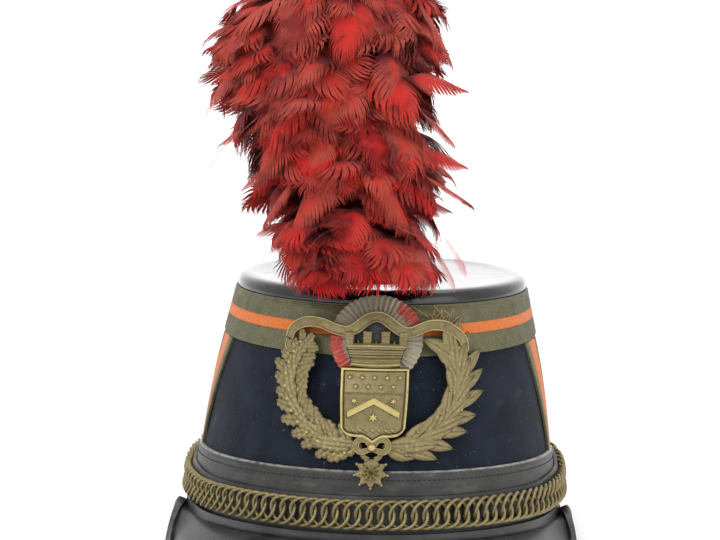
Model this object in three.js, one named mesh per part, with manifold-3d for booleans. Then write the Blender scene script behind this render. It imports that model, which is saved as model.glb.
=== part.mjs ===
// Parade shako: a hollow cloth body under a patent leather crown, with galloon, side chevrons, a leather
// band, a bound visor, a chin chain on its strap, a pleated cockade, a stamped plate and a feather plume.
// Millimetres. X points to the right as seen from the front, Y to the back and Z up.
// The hat is laid out on its own base plane, the lower edge of the leather band, and is then tipped back
// so that it rests on the visor's edge and the back of the band.
import * as THREE from "three";
import { mergeVertices } from "three/addons/utils/BufferGeometryUtils.js";
import Module from "manifold-3d";

const wasm = await Module();
wasm.setup();

// Body
const BASE_HALF_WIDTH = 84;
const BASE_HALF_DEPTH = 103;
const INSET_LINEAR = 0.0535;
const INSET_SQUARE = 0.00097;
const DEPTH_INSET_RATIO = 1.13;
const WALL = 3;
const CROWN_LEVEL = 104.5;
const CROWN_TILT = THREE.MathUtils.degToRad(4);
const TILT_FROM = 29;
const TILT_FULL = 80;
const LEAN_RIGHT = 0.019;
const LEAN_BACK = 0.014;
const SEGMENTS = 52;
const GAP = 0.3;

// Galloon and chevrons
const LACE_THICK = 1.1;
const LACE_BORDER = 8.3;
const LACE_STRIPE = 4.8;
const GALLOON_BOTTOM = CROWN_LEVEL - 2 * LACE_BORDER - LACE_STRIPE;
const CHEVRON_TOP_REACH = 40;
const CHEVRON_BOTTOM_REACH = 20;
const CHEVRON_BORDER = 5.4;
const CHEVRON_STRIPE = 13.9;
const CHEVRON_THICK = 0.9;
const CHEVRON_SEAT = 0.5;
const CHEVRON_STEPS = 5;

// Leather band, strap and chain
const BAND_HEIGHT = 29;
const BAND_THICK = 2.2;
const STRAP_WIDTH = 15;
const STRAP_THICK = 1.5;
const STRAP_END = THREE.MathUtils.degToRad(113);
const STRAP_STEPS = 44;
const CHAIN_END = THREE.MathUtils.degToRad(105.2);
const CHAIN_LINKS = 69;
const CHAIN_HEIGHT = 14;
const CHAIN_DEPTH = 3.3;
const STUD_ANGLE = THREE.MathUtils.degToRad(109.2);
const STUD_RADIUS = 6.5;
const STUD_RISE = 4.2;

// Height of the strap's middle above the base plane, by angle from the front
const STRAP_HEIGHTS = [
  { angle: 0, level: 11.4 },
  { angle: 55, level: 11.6 },
  { angle: 80, level: 13.6 },
  { angle: 98, level: 19 },
  { angle: 113, level: 25 },
];

// Visor
const VISOR_ANGLE = THREE.MathUtils.degToRad(80);
const VISOR_THICK = 2.2;
const VISOR_FLANGE_BOTTOM = -1.5;
const VISOR_FRONT = 148.5;
const VISOR_CROWN = 5;
const VISOR_TIP = 0.96;
const FLANGE_SHARE = 0.2;
const STRAP_CLEAR = 0.9;
const VISOR_STEPS = 36;
const VISOR_ROWS = 4;
const BINDING_WIDTH = 4.6;
const BINDING_THICK = 0.9;
const BINDING_CLEAR = 0.75;
const REST_TILT = THREE.MathUtils.degToRad(6.3);
const REAR_FLAT = 0.25;

// Plate, cockade and plume
const PLATE_BACK = 3.1;
const PLATE_LIFT = 4.2;
const PLATE_LIFT_FROM = 42;
const PLATE_LIFT_FULL = 64;
const COCKADE_RADIUS = 18.8;
const COCKADE_HEIGHT = 84.5;
const COCKADE_PLEATS = 40;
const COCKADE_BACK = 4.1;
const TANG_WIDTH = 8;
const TANG_THICK = 1.7;
const PLUME_FOOT = 107;
const PLUME_SIDES = 24;

// Plume tiers from the foot upwards: where each tier's tips hang, in mm above the foot, how far out they
// reach, where the tier's middle lies to the left, and where the tier leaves the core
const PLUME_TIERS = [
  { tip: 3, reach: 33, left: 0, root: 22, locks: 8 },
  { tip: 17, reach: 40, left: 8, root: 40, locks: 9 },
  { tip: 34, reach: 44, left: 12, root: 62, locks: 8 },
  { tip: 56, reach: 48, left: 14, root: 86, locks: 9 },
  { tip: 84, reach: 56, left: 18, root: 116, locks: 8 },
  { tip: 110, reach: 53, left: 20, root: 140, locks: 9 },
  { tip: 136, reach: 40, left: 21, root: 156, locks: 8 },
];
const PLUME_TOP = 168;
const PLUME_TOP_LEFT = 22;
const PLUME_DEPTH_RATIO = 0.86;

const vec = (x, y, z) => new THREE.Vector3(x, y, z);
const lerp = THREE.MathUtils.lerp;
const smooth = THREE.MathUtils.smoothstep;

function inset(level) {
  return INSET_LINEAR * level + INSET_SQUARE * level * level;
}

function halfWidth(level) {
  return BASE_HALF_WIDTH - inset(level);
}

function halfDepth(level) {
  return BASE_HALF_DEPTH - DEPTH_INSET_RATIO * inset(level);
}

// A point of the body's wall: angle 0 is the front and grows to the right, off stands away from the cloth
function wall(angle, level, off) {
  const x = (halfWidth(level) + off) * Math.sin(angle) + LEAN_RIGHT * level;
  const y = -(halfDepth(level) + off) * Math.cos(angle) + LEAN_BACK * level;
  const tilt = Math.tan(CROWN_TILT) * smooth(level, TILT_FROM, TILT_FULL);
  return vec(x, y, level + tilt * y);
}

// A mesh with its faces turned outwards, from points and triangles
function solid(points, faces) {
  let volume = 0;
  for (const [a, b, c] of faces) {
    volume += points[a].dot(points[b].clone().cross(points[c]));
  }
  const turned = volume < 0 ? faces.map(([a, b, c]) => [a, c, b]) : faces;
  const geometry = new THREE.BufferGeometry();
  const positions = points.flatMap((p) => [p.x, p.y, p.z]);
  geometry.setAttribute("position", new THREE.Float32BufferAttribute(positions, 3));
  geometry.setIndex(turned.flat());
  return geometry;
}

// Sections of equal length joined to a solid, closed on itself or capped at both ends. flat gives the
// section in two coordinates, for the caps.
function loft(sections, flat = null) {
  const count = sections[0].length;
  const points = sections.flat();
  const faces = [];
  const steps = flat ? sections.length - 1 : sections.length;
  for (let i = 0; i < steps; i += 1) {
    const here = i * count;
    const next = ((i + 1) % sections.length) * count;
    for (let j = 0; j < count; j += 1) {
      const k = (j + 1) % count;
      faces.push([here + j, here + k, next + k], [here + j, next + k, next + j]);
    }
  }
  if (flat) {
    const last = (sections.length - 1) * count;
    for (const [a, b, c] of THREE.ShapeUtils.triangulateShape(flat, [])) {
      faces.push([a, c, b], [last + a, last + b, last + c]);
    }
    fixCaps(faces, steps * count * 2, flat);
  }
  return solid(points, faces);
}

// Turns the two caps over where the section was listed clockwise
function fixCaps(faces, from, flat) {
  if (THREE.ShapeUtils.area(flat) > 0) {
    return;
  }
  for (let i = from; i < faces.length; i += 1) {
    faces[i].reverse();
  }
}

const flatOf = (rows) => rows.map(([u, v]) => new THREE.Vector2(u, v));

// A hoop right round the wall with a section of [level, off] rows
function hoop(rows) {
  const sections = [];
  for (let i = 0; i < SEGMENTS; i += 1) {
    const angle = (2 * Math.PI * i) / SEGMENTS;
    sections.push(rows.map(([level, off]) => wall(angle, level, off)));
  }
  return loft(sections);
}

// The floor that the hat rests on, in the hat's own frame, by the distance back
function floorHeight(y) {
  return -(BASE_HALF_DEPTH + BAND_THICK + GAP - y) * Math.tan(REST_TILT) + REAR_FLAT;
}

// Leather pressed flat where it stands on the floor
function pressed(geometry) {
  const position = geometry.getAttribute("position");
  for (let i = 0; i < position.count; i += 1) {
    position.setZ(i, Math.max(position.getZ(i), floorHeight(position.getY(i))));
  }
  return geometry;
}

function toManifold(geometry) {
  const merged = mergeVertices(geometry.clone(), 1e-5);
  return new wasm.Manifold(
    new wasm.Mesh({
      numProp: 3,
      vertProperties: Float32Array.from(merged.getAttribute("position").array),
      triVerts: Uint32Array.from(merged.getIndex().array),
    }),
  );
}

function joined(geometries) {
  const total = geometries.map(toManifold).reduce((sum, next) => sum.add(next));
  const mesh = total.getMesh();
  const geometry = new THREE.BufferGeometry();
  geometry.setAttribute("position", new THREE.Float32BufferAttribute(mesh.vertProperties, 3));
  geometry.setIndex(Array.from(mesh.triVerts));
  return geometry;
}

// Cloth body, open at the bottom and, under the crown, at the top
function shellGeometry() {
  const outside = [GAP, BAND_HEIGHT, 54, GALLOON_BOTTOM, CROWN_LEVEL];
  const inside = [CROWN_LEVEL, 60, GAP];
  return hoop([...outside.map((level) => [level, 0]), ...inside.map((level) => [level, -WALL])]);
}

// Crown: a lid with a rolled rim, slightly sunk in the middle, sitting on the top of the wall
function crownGeometry() {
  const rows = [
    [CROWN_LEVEL + GAP, 0.7],
    [CROWN_LEVEL + 3, 1.3],
    [CROWN_LEVEL + 5.2, 0.4],
    [CROWN_LEVEL + 6, -2.5],
    [CROWN_LEVEL + 5.2, -16],
    [CROWN_LEVEL + 3.6, -18],
    [CROWN_LEVEL + 3.2, -4.5],
    [CROWN_LEVEL + GAP, -WALL],
  ];
  const outer = 5;
  const points = [];
  for (let i = 0; i < SEGMENTS; i += 1) {
    const angle = (2 * Math.PI * i) / SEGMENTS;
    points.push(...rows.map(([level, off]) => wall(angle, level, off)));
  }
  const middle = wall(0, CROWN_LEVEL + 5, -halfDepth(CROWN_LEVEL + 5));
  const under = middle.clone().setZ(middle.z - 1.8);
  const top = points.push(middle) - 1;
  const bottom = points.push(under) - 1;
  const faces = [];
  const count = rows.length;
  for (let i = 0; i < SEGMENTS; i += 1) {
    const here = i * count;
    const next = ((i + 1) % SEGMENTS) * count;
    for (let j = 0; j < count; j += 1) {
      if (j === outer - 1) {
        faces.push([here + j, top, next + j], [here + j + 1, next + j + 1, bottom]);
      } else {
        const k = (j + 1) % count;
        faces.push([here + j, here + k, next + k], [here + j, next + k, next + j]);
      }
    }
  }
  return solid(points, faces);
}

function laceGeometry(bottom, top) {
  return hoop([
    [bottom, GAP],
    [bottom, GAP + LACE_THICK],
    [top, GAP + LACE_THICK],
    [top, GAP],
  ]);
}

// A strip of lace on one side of the body, between two slanting lines. Each line is given by its reach
// ahead of the side's middle at the galloon and at the leather band; turn is 1 for the front arm, and
// least is as far as the strip may go towards or past the middle.
function laceStrip(side, turn, outerLine, innerLine, least = -Infinity) {
  const top = GALLOON_BOTTOM - GAP;
  const bottom = BAND_HEIGHT + GAP;
  const sections = [];
  for (let i = 0; i <= CHEVRON_STEPS; i += 1) {
    const share = i / CHEVRON_STEPS;
    const level = lerp(bottom, top, share);
    const section = [];
    for (const [line, off] of [[outerLine, 0], [outerLine, 1], [innerLine, 1], [innerLine, 0]]) {
      const reach = Math.max(least, lerp(line.bottom, line.top, share)) * turn;
      const angle = side * (Math.PI / 2 - reach / halfDepth(level));
      section.push(wall(angle, level, CHEVRON_SEAT + off * CHEVRON_THICK));
    }
    sections.push(section);
  }
  return loft(sections, flatOf([[0, 0], [0, 1], [1, 1], [1, 0]]));
}

// The reach of a line that lies a given width inside the chevron's outer edge
function chevronLine(width) {
  return { top: CHEVRON_TOP_REACH - width, bottom: CHEVRON_BOTTOM_REACH - width };
}

// Inner border of the chevron: two arms that meet above the band and share their foot
function chevronInner(side) {
  const outerLine = chevronLine(CHEVRON_BORDER + CHEVRON_STRIPE + GAP);
  const innerLine = chevronLine(2 * CHEVRON_BORDER + CHEVRON_STRIPE + GAP);
  const share = 0.2;
  return joined([
    laceStrip(side, 1, outerLine, innerLine, -share),
    laceStrip(side, -1, outerLine, innerLine, -share),
  ]);
}

function bandGeometry() {
  const out = GAP + BAND_THICK;
  const rows = [
    [0, GAP],
    [0, out],
    [BAND_HEIGHT - 1.6, out],
    [BAND_HEIGHT, out - 0.9],
    [BAND_HEIGHT, GAP],
  ];
  return pressed(hoop(rows));
}

// Height of the strap's middle at an angle from the front
function strapLevel(angle) {
  const degrees = Math.abs(THREE.MathUtils.radToDeg(angle));
  for (let i = 1; i < STRAP_HEIGHTS.length; i += 1) {
    const from = STRAP_HEIGHTS[i - 1];
    const to = STRAP_HEIGHTS[i];
    if (degrees <= to.angle) {
      return lerp(from.level, to.level, smooth(degrees, from.angle, to.angle));
    }
  }
  return STRAP_HEIGHTS[STRAP_HEIGHTS.length - 1].level;
}

// A point of the strap or chain: rise from the strap's middle, off from the band's face
function onBand(angle, rise, off) {
  const level = strapLevel(angle) + rise;
  const p = wall(angle, Math.min(level, BAND_HEIGHT), GAP + BAND_THICK + GAP + off);
  return p.setZ(level);
}

function strapGeometry() {
  const half = STRAP_WIDTH / 2;
  const rows = [[-half, 0], [-half, STRAP_THICK], [half, STRAP_THICK], [half, 0]];
  const sections = [];
  for (let i = 0; i <= STRAP_STEPS; i += 1) {
    const angle = lerp(-STRAP_END, STRAP_END, i / STRAP_STEPS);
    sections.push(rows.map(([rise, off]) => onBand(angle, rise, off)));
  }
  return loft(sections, flatOf(rows));
}

// Chain: one ribbed solid, a crest for each link and a hollow between two
function chainGeometry() {
  const half = CHAIN_HEIGHT / 2;
  const base = STRAP_THICK + GAP;
  const crest = [[-half, 0], [-half * 0.75, 0.75], [0, 1], [half * 0.75, 0.75], [half, 0]];
  const sections = [];
  for (let i = 0; i <= 2 * CHAIN_LINKS; i += 1) {
    const angle = lerp(-CHAIN_END, CHAIN_END, i / (2 * CHAIN_LINKS));
    const hollow = i % 2 === 0;
    const depth = CHAIN_DEPTH * (hollow ? 0.55 : 1);
    const grip = hollow ? 0.88 : 1;
    sections.push(crest.map(([rise, share]) => onBand(angle, rise * grip, base + depth * share)));
  }
  return loft(sections, flatOf(crest));
}

function studGeometry(side) {
  const profile = [
    new THREE.Vector2(0, 0),
    new THREE.Vector2(STUD_RADIUS, 0),
    new THREE.Vector2(STUD_RADIUS, 0.9),
    new THREE.Vector2(STUD_RADIUS * 0.75, STUD_RISE * 0.7),
    new THREE.Vector2(STUD_RADIUS * 0.4, STUD_RISE * 0.94),
    new THREE.Vector2(0, STUD_RISE),
  ];
  const geometry = new THREE.LatheGeometry(profile, 14);
  const angle = side * STUD_ANGLE;
  const seat = onBand(angle, 0, STRAP_THICK + GAP + 0.25);
  const along = onBand(angle + 0.04, 0, 0).sub(onBand(angle - 0.04, 0, 0));
  const up = onBand(angle, STUD_RADIUS * 0.7, 0).sub(onBand(angle, -STUD_RADIUS, 0));
  const normal = along.cross(up).normalize();
  geometry.applyQuaternion(new THREE.Quaternion().setFromUnitVectors(vec(0, 1, 0), normal));
  geometry.translate(seat.x, seat.y, seat.z);
  geometry.deleteAttribute("normal");
  geometry.deleteAttribute("uv");
  return mergeVertices(geometry, 1e-4);
}

// Outer edge of the visor, seen from above: one smooth curve from tip to tip
const visorPlan = new THREE.CubicBezierCurve(
  new THREE.Vector2(0, -VISOR_FRONT),
  new THREE.Vector2(62, -VISOR_FRONT),
  new THREE.Vector2(100, -90),
  new THREE.Vector2(89.4, -17.5),
);

// Top of the visor's flange, which follows the strap's lower edge
function flangeTop(angle) {
  return strapLevel(angle) - STRAP_WIDTH / 2 - STRAP_CLEAR;
}

function visorEdge(share) {
  const p = visorPlan.getPoint(Math.abs(share));
  const onFloor = floorHeight(p.y) + VISOR_THICK / 2 + BINDING_THICK + BINDING_CLEAR - 0.35;
  const z = lerp(onFloor, flangeTop(share * VISOR_ANGLE) - 1.2, smooth(Math.abs(share), 0.8, 1));
  return vec(Math.sign(share) * p.x, p.y, z);
}

// Middle surface of the visor: down the flange on the band, then out to the edge in a crowned curve
function visorPoint(share, across) {
  const angle = share * VISOR_ANGLE;
  const off = GAP + BAND_THICK + GAP + VISOR_THICK / 2;
  const root = wall(angle, 0, off).setZ(flangeTop(angle));
  const bend = wall(angle, 0, off + 0.4).setZ(VISOR_FLANGE_BOTTOM);
  const edge = visorEdge(share);
  if (across <= FLANGE_SHARE) {
    return root.lerp(bend, across / FLANGE_SHARE);
  }
  const t = (across - FLANGE_SHARE) / (1 - FLANGE_SHARE);
  const point = bend.clone().lerp(edge, t);
  const reach = bend.distanceTo(edge);
  point.z += VISOR_CROWN * (reach / 50) * 4 * t * (1 - t) * 0.9;
  return point;
}

function visorNormal(share, across) {
  const step = 0.01;
  const along = visorPoint(Math.min(share + step, 1), across).sub(visorPoint(Math.max(share - step, -1), across));
  const out = visorPoint(share, Math.min(across + step, 1)).sub(visorPoint(share, Math.max(across - step, 0)));
  return along.cross(out).normalize().negate();
}

function visorShares() {
  const shares = [];
  for (let i = 0; i <= VISOR_STEPS; i += 1) {
    const u = (2 * i) / VISOR_STEPS - 1;
    shares.push(VISOR_TIP * Math.sin((u * Math.PI) / 2));
  }
  return shares;
}

function visorGeometry() {
  const acrosses = [0];
  for (let i = 0; i <= VISOR_ROWS; i += 1) {
    acrosses.push(lerp(FLANGE_SHARE, 1, i / VISOR_ROWS));
  }
  const half = VISOR_THICK / 2;
  const flat = [
    ...acrosses.map((across) => [across, half]),
    ...acrosses.slice().reverse().map((across) => [across, -half]),
  ];
  const sections = visorShares().map((share) =>
    flat.map(([across, off]) => visorPoint(share, across).addScaledVector(visorNormal(share, across), off)),
  );
  return loft(sections, flatOf(flat));
}

// Edge binding: a strip of leather folded round the visor's edge
function bindingGeometry() {
  const inner = VISOR_THICK / 2 + BINDING_CLEAR;
  const outer = inner + BINDING_THICK;
  const sectionFor = (width) => [
    [-width, inner],
    [-width, outer],
    [BINDING_CLEAR, outer],
    [BINDING_CLEAR + BINDING_THICK, 0],
    [BINDING_CLEAR, -outer],
    [-width, -outer],
    [-width, -inner],
    [BINDING_CLEAR, -inner],
    [BINDING_CLEAR, inner],
  ];
  const sections = visorShares().map((share) => {
    const edge = visorPoint(share, 1);
    const inside = visorPoint(share, 0.9);
    const out = edge.clone().sub(inside).normalize();
    const perMm = 0.1 / edge.distanceTo(inside);
    const reach = edge.distanceTo(visorPoint(share, FLANGE_SHARE));
    const section = sectionFor(Math.min(BINDING_WIDTH, reach * 0.42));
    return section.map(([o, n]) => {
      const across = Math.min(1, 1 + o * perMm);
      const seat = visorPoint(share, across).addScaledVector(out, Math.max(0, o));
      return seat.addScaledVector(visorNormal(share, across), n);
    });
  });
  return pressed(loft(sections, flatOf(sectionFor(BINDING_WIDTH))));
}

// Front of the hat: x along the wall from the middle and height above the base plane, out from the wall.
// The level whose front point has that height is found by a few steps of substitution.
function frontLevel(height) {
  let level = height;
  for (let i = 0; i < 6; i += 1) {
    level += height - wall(0, level, 0).z;
  }
  return level;
}

function onFront(x, height, off) {
  const level = frontLevel(height);
  return wall(x / halfWidth(level), level, off);
}

// The plate lies on the wall, and over the cockade it stands further out
function plateBack(x, height) {
  const up = smooth(height, PLATE_LIFT_FROM, PLATE_LIFT_FULL);
  const middle = 1 - smooth(Math.abs(x), 21, 34);
  return PLATE_BACK + PLATE_LIFT * up * middle;
}

function onPlate(x, height, rise) {
  return onFront(x, height, plateBack(x, height) + rise);
}

// A raised form on the plate: an outline from low to high, whose top may be narrower, with its own ridge
function relief(outline, low, high, shrink = 1, centre = null) {
  const flat = flatOf(outline);
  const mid = centre ?? [
    outline.reduce((sum, p) => sum + p[0], 0) / outline.length,
    outline.reduce((sum, p) => sum + p[1], 0) / outline.length,
  ];
  const count = outline.length;
  const upper = outline.map(([x, z]) => [lerp(mid[0], x, shrink), lerp(mid[1], z, shrink)]);
  const points = [
    ...outline.map(([x, z]) => onPlate(x, z, low)),
    ...upper.map(([x, z]) => onPlate(x, z, high)),
  ];
  const faces = [];
  for (let j = 0; j < count; j += 1) {
    const k = (j + 1) % count;
    faces.push([j, k, count + k], [j, count + k, count + j]);
  }
  const clockwise = THREE.ShapeUtils.area(flat) < 0;
  for (const [a, b, c] of THREE.ShapeUtils.triangulateShape(flat, [])) {
    const lower = clockwise ? [a, b, c] : [a, c, b];
    faces.push(lower, [...lower].reverse().map((n) => n + count));
  }
  return solid(points, faces);
}

// An outline moved to a place on the plate, turned by an angle
function placed(outline, x, z, angle) {
  const c = Math.cos(angle);
  const s = Math.sin(angle);
  return outline.map(([u, v]) => [x + u * c - v * s, z + u * s + v * c]);
}

// Wreath: a branch up each side in half an oval, its leaves' tips standing out like saw teeth
const WREATH = { z: 65.5, halfWidth: 35.3, halfHeight: 27.5, start: -74, end: 42 };
const WREATH_LEAVES = [
  { phase: 0, half: 5.2, rise: 1.5 },
  { phase: 0.55, half: 7.6, rise: 2.3 },
  { phase: 0.85, half: 9.6, rise: 1.3 },
];
const OAK_PAIRS = 8;
const LAUREL_PAIRS = 9;

function wreathPoint(side, degrees, out) {
  const t = THREE.MathUtils.degToRad(degrees);
  const x = (WREATH.halfWidth + out) * Math.cos(t);
  return [side * x, WREATH.z + (WREATH.halfHeight + out) * Math.sin(t)];
}

function wreathGeometry(side, pairs) {
  const sections = [];
  const rows = ({ half, rise }) => [
    [-half, 0],
    [-half, 0.6],
    [-half * 0.5, rise],
    [0, 1.1],
    [half * 0.5, rise],
    [half, 0.6],
    [half, 0],
  ];
  for (let i = 0; i < pairs; i += 1) {
    for (const leaf of WREATH_LEAVES) {
      const degrees = lerp(WREATH.start, WREATH.end, (i + leaf.phase) / pairs);
      sections.push(rows(leaf).map(([out, h]) => onPlate(...wreathPoint(side, degrees, out), h)));
    }
  }
  return loft(sections, flatOf(rows(WREATH_LEAVES[0])));
}

// Ribbon over the top of the plate: its middle line, left to right
const RIBBON = [
  { x: -37, z: 83.6 },
  { x: -31.5, z: 89.6 },
  { x: -24, z: 91.3 },
  { x: -17, z: 89.5 },
  { x: -11, z: 88.3 },
  { x: -5.5, z: 92 },
  { x: 0, z: 94.8 },
  { x: 5.5, z: 92 },
  { x: 11, z: 88.3 },
  { x: 17, z: 89.5 },
  { x: 24, z: 91.3 },
  { x: 31.5, z: 89.6 },
  { x: 37, z: 83.6 },
];
const RIBBON_WIDTH = 4.8;
const RIBBON_STEPS = 24;

function ribbonGeometry() {
  const curve = new THREE.SplineCurve(RIBBON.map((p) => new THREE.Vector2(p.x, p.z)));
  const half = RIBBON_WIDTH / 2;
  const rows = [[-half, 0.2], [-half, 2], [half, 2], [half, 0.2]];
  const sections = [];
  for (let i = 0; i <= RIBBON_STEPS; i += 1) {
    const p = curve.getPoint(i / RIBBON_STEPS);
    sections.push(rows.map(([rise, h]) => onPlate(p.x, p.y + rise, h)));
  }
  return loft(sections, flatOf(rows));
}

// Shield: columns across, each from the top line to the shield's rounded foot
const SHIELD = { half: 11.8, top: 72.2, side: 48.5, foot: 44.6, point: 42.1 };

function shieldFoot(x) {
  const share = Math.abs(x) / SHIELD.half;
  const round = SHIELD.foot + (SHIELD.side - SHIELD.foot) * Math.pow(share, 5);
  const point = (SHIELD.foot - SHIELD.point) * Math.pow(Math.max(0, 1 - share * 3), 1.5);
  return round - point;
}

// A form that runs across the plate in columns, between a lower and an upper line
function acrossPlate(half, columns, lowerAt, upperAt, low, high, footShare = 1) {
  const sections = [];
  const heights = [0, 0.35, 0.7, 1];
  for (let i = 0; i <= columns; i += 1) {
    const x = lerp(-half, half, i / columns);
    const line = heights.map((share) => [x * lerp(footShare, 1, share), lerp(lowerAt(x), upperAt(x), share)]);
    const rows = [...line.map((p) => [...p, low]), ...line.reverse().map((p) => [...p, high])];
    sections.push(rows.map((row) => onPlate(...row)));
  }
  return loft(sections, flatOf([[0, 0], [1, 0], [2, 0], [3, 0], [3, 1], [2, 1], [1, 1], [0, 1]]));
}

function shieldGeometry(rim, low, high) {
  const shrink = SHIELD.half / (SHIELD.half + rim);
  const lower = (x) => shieldFoot(x * shrink) - rim;
  return acrossPlate(SHIELD.half + rim, 8, lower, () => SHIELD.top + rim, low, high);
}

// Chevron and three bosses on the shield, a plain pattern
function shieldCharges() {
  const chevron = [[-10.4, 50.5], [-10.4, 54.5], [0, 62.5], [10.4, 54.5], [10.4, 50.5], [0, 58.5]];
  const parts = [relief(chevron, 1.6, 3.2, 0.97)];
  for (const [x, z] of [[-6.4, 67], [6.4, 67], [0, 50.2]]) {
    parts.push(relief(disc(x, z, 2.3, 8), 1.6, 3.4, 0.6));
  }
  return parts;
}

function disc(x, z, radius, sides) {
  const points = [];
  for (let i = 0; i < sides; i += 1) {
    const t = (2 * Math.PI * i) / sides;
    points.push([x + radius * Math.cos(t), z + radius * Math.sin(t)]);
  }
  return points;
}

// Mural crown: a wall with four merlons, which widens from its curved base
const MURAL = { half: 12, bottom: 74, wall: 82.6, top: 88.3, merlon: 3.8, footShare: 0.8 };

function muralParts() {
  const sag = (x) => 1 - (x * x) / (MURAL.half * MURAL.half);
  const lower = (x) => MURAL.bottom - sag(x);
  const parts = [acrossPlate(MURAL.half, 6, lower, (x) => MURAL.wall + 0.4 * sag(x), 0.2, 2.6, MURAL.footShare)];
  for (let i = 0; i < 4; i += 1) {
    const x = lerp(-MURAL.half + 1.9, MURAL.half - 1.9, i / 3);
    const w = MURAL.merlon / 2;
    const merlon = [[x - w, MURAL.wall - 3], [x + w, MURAL.wall - 3], [x + w, MURAL.top], [x - w, MURAL.top]];
    parts.push(relief(merlon, 0.2, 3.1, 0.94));
  }
  return parts;
}

// Knot, its two ribbon ends and the pendant star
const STAR = { z: 28.9, radius: 6.7, inner: 4.2, points: 9 };

function starParts() {
  const outline = [];
  for (let i = 0; i < 2 * STAR.points; i += 1) {
    const t = (Math.PI * i) / STAR.points;
    const r = i % 2 === 0 ? STAR.radius : STAR.inner;
    outline.push([r * Math.sin(t), STAR.z + r * Math.cos(t)]);
  }
  const knot = [[-4.5, 36], [4.5, 36], [5, 42], [-5, 42]];
  const tails = [[-17, 33], [-14, 37.5], [0, 39.5], [14, 37.5], [17, 33], [0, 35.5]];
  return [
    relief(outline, 0.2, 2.4, 0.55),
    relief(disc(0, STAR.z, 2.6, 8), 0.2, 3, 0.7),
    relief(knot, 0.2, 3.2, 0.7),
    relief(tails, 0, 1.4, 0.98),
    relief(disc(0, 37, 2.4, 8), 0.2, 3.6, 0.6),
  ];
}

function plateGeometry() {
  return joined([
    wreathGeometry(-1, OAK_PAIRS),
    wreathGeometry(1, LAUREL_PAIRS),
    ribbonGeometry(),
    shieldGeometry(1.2, 0, 2.4),
    ...shieldCharges(),
    ...muralParts(),
    ...starParts(),
  ]);
}

// Cockade: a disc of radial pleats round a small middle, its back in two rings that follow the wall
function cockadeGeometry() {
  const sides = 2 * COCKADE_PLEATS;
  const rings = [
    { radius: 4.5, crest: 2.4, hollow: 2.2 },
    { radius: 13, crest: 2.5, hollow: 1.8 },
    { radius: COCKADE_RADIUS, crest: 1.9, hollow: 1.1 },
    { radius: COCKADE_RADIUS, crest: 0, hollow: 0 },
    { radius: 11, crest: 0, hollow: 0 },
  ];
  const at = (radius, t, off) =>
    onFront(radius * Math.sin(t), COCKADE_HEIGHT + radius * Math.cos(t), COCKADE_BACK + off);
  const points = [];
  for (let i = 0; i < sides; i += 1) {
    const t = (2 * Math.PI * i) / sides;
    points.push(...rings.map((ring) => at(ring.radius, t, i % 2 === 0 ? ring.crest : ring.hollow)));
  }
  const top = points.push(at(0, 0, 2.5)) - 1;
  const bottom = points.push(at(0, 0, 0)) - 1;
  const count = rings.length;
  const faces = [];
  for (let i = 0; i < sides; i += 1) {
    const here = i * count;
    const next = ((i + 1) % sides) * count;
    faces.push([top, here, next]);
    for (let j = 0; j < count - 1; j += 1) {
      faces.push([here + j, here + j + 1, next + j + 1], [here + j, next + j + 1, next + j]);
    }
    faces.push([bottom, next + count - 1, here + count - 1]);
  }
  return solid(points, faces);
}

// Plume: tiers of hanging locks round a leaning core, over a tang behind the cockade
const plumeRoot = onFront(0, 100, COCKADE_BACK - GAP - TANG_THICK / 2);

function plumePoint(height, left, radius, t) {
  const back = plumeRoot.y - 1 + 0.04 * height;
  return vec(
    plumeRoot.x - left + radius * Math.sin(t),
    back - radius * Math.cos(t) * PLUME_DEPTH_RATIO,
    PLUME_FOOT + height,
  );
}

function plumeGeometry() {
  const rings = [];
  const ring = (shape) => {
    const points = [];
    for (let i = 0; i < PLUME_SIDES; i += 1) {
      points.push(shape((2 * Math.PI * i) / PLUME_SIDES));
    }
    rings.push(points);
  };
  PLUME_TIERS.forEach((tier, n) => {
    const lock = (t) => 0.5 + 0.5 * Math.cos(tier.locks * t + 1.7 * n);
    const under = n === 0 ? 4 : PLUME_TIERS[n - 1].reach * 0.62;
    const underLeft = n === 0 ? 0 : PLUME_TIERS[n - 1].left;
    if (n === 0) {
      ring((t) => plumePoint(tier.tip + 3, 0, under, t));
    } else {
      ring((t) => plumePoint(tier.tip + 8, lerp(underLeft, tier.left, 0.5), under, t));
    }
    ring((t) => plumePoint(tier.tip + 5 - 5 * lock(t), tier.left, tier.reach * (0.78 + 0.22 * lock(t)), t));
    ring((t) => plumePoint(lerp(tier.tip, tier.root, 0.45), tier.left, tier.reach * (0.84 + 0.1 * lock(t)), t));
  });
  ring((t) => plumePoint(PLUME_TOP - 9, PLUME_TOP_LEFT, 22, t));
  const points = rings.flat();
  const foot = points.push(plumePoint(PLUME_TIERS[0].tip + 3, 0, 0, 0)) - 1;
  const top = points.push(plumePoint(PLUME_TOP, PLUME_TOP_LEFT, 0, 0)) - 1;
  const faces = [];
  const last = (rings.length - 1) * PLUME_SIDES;
  for (let j = 0; j < PLUME_SIDES; j += 1) {
    const k = (j + 1) % PLUME_SIDES;
    faces.push([foot, k, j], [top, last + j, last + k]);
    for (let i = 0; i < rings.length - 1; i += 1) {
      const here = i * PLUME_SIDES;
      const next = here + PLUME_SIDES;
      faces.push([here + j, here + k, next + k], [here + j, next + k, next + j]);
    }
  }
  return joined([solid(points, faces), tangGeometry()]);
}

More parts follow.
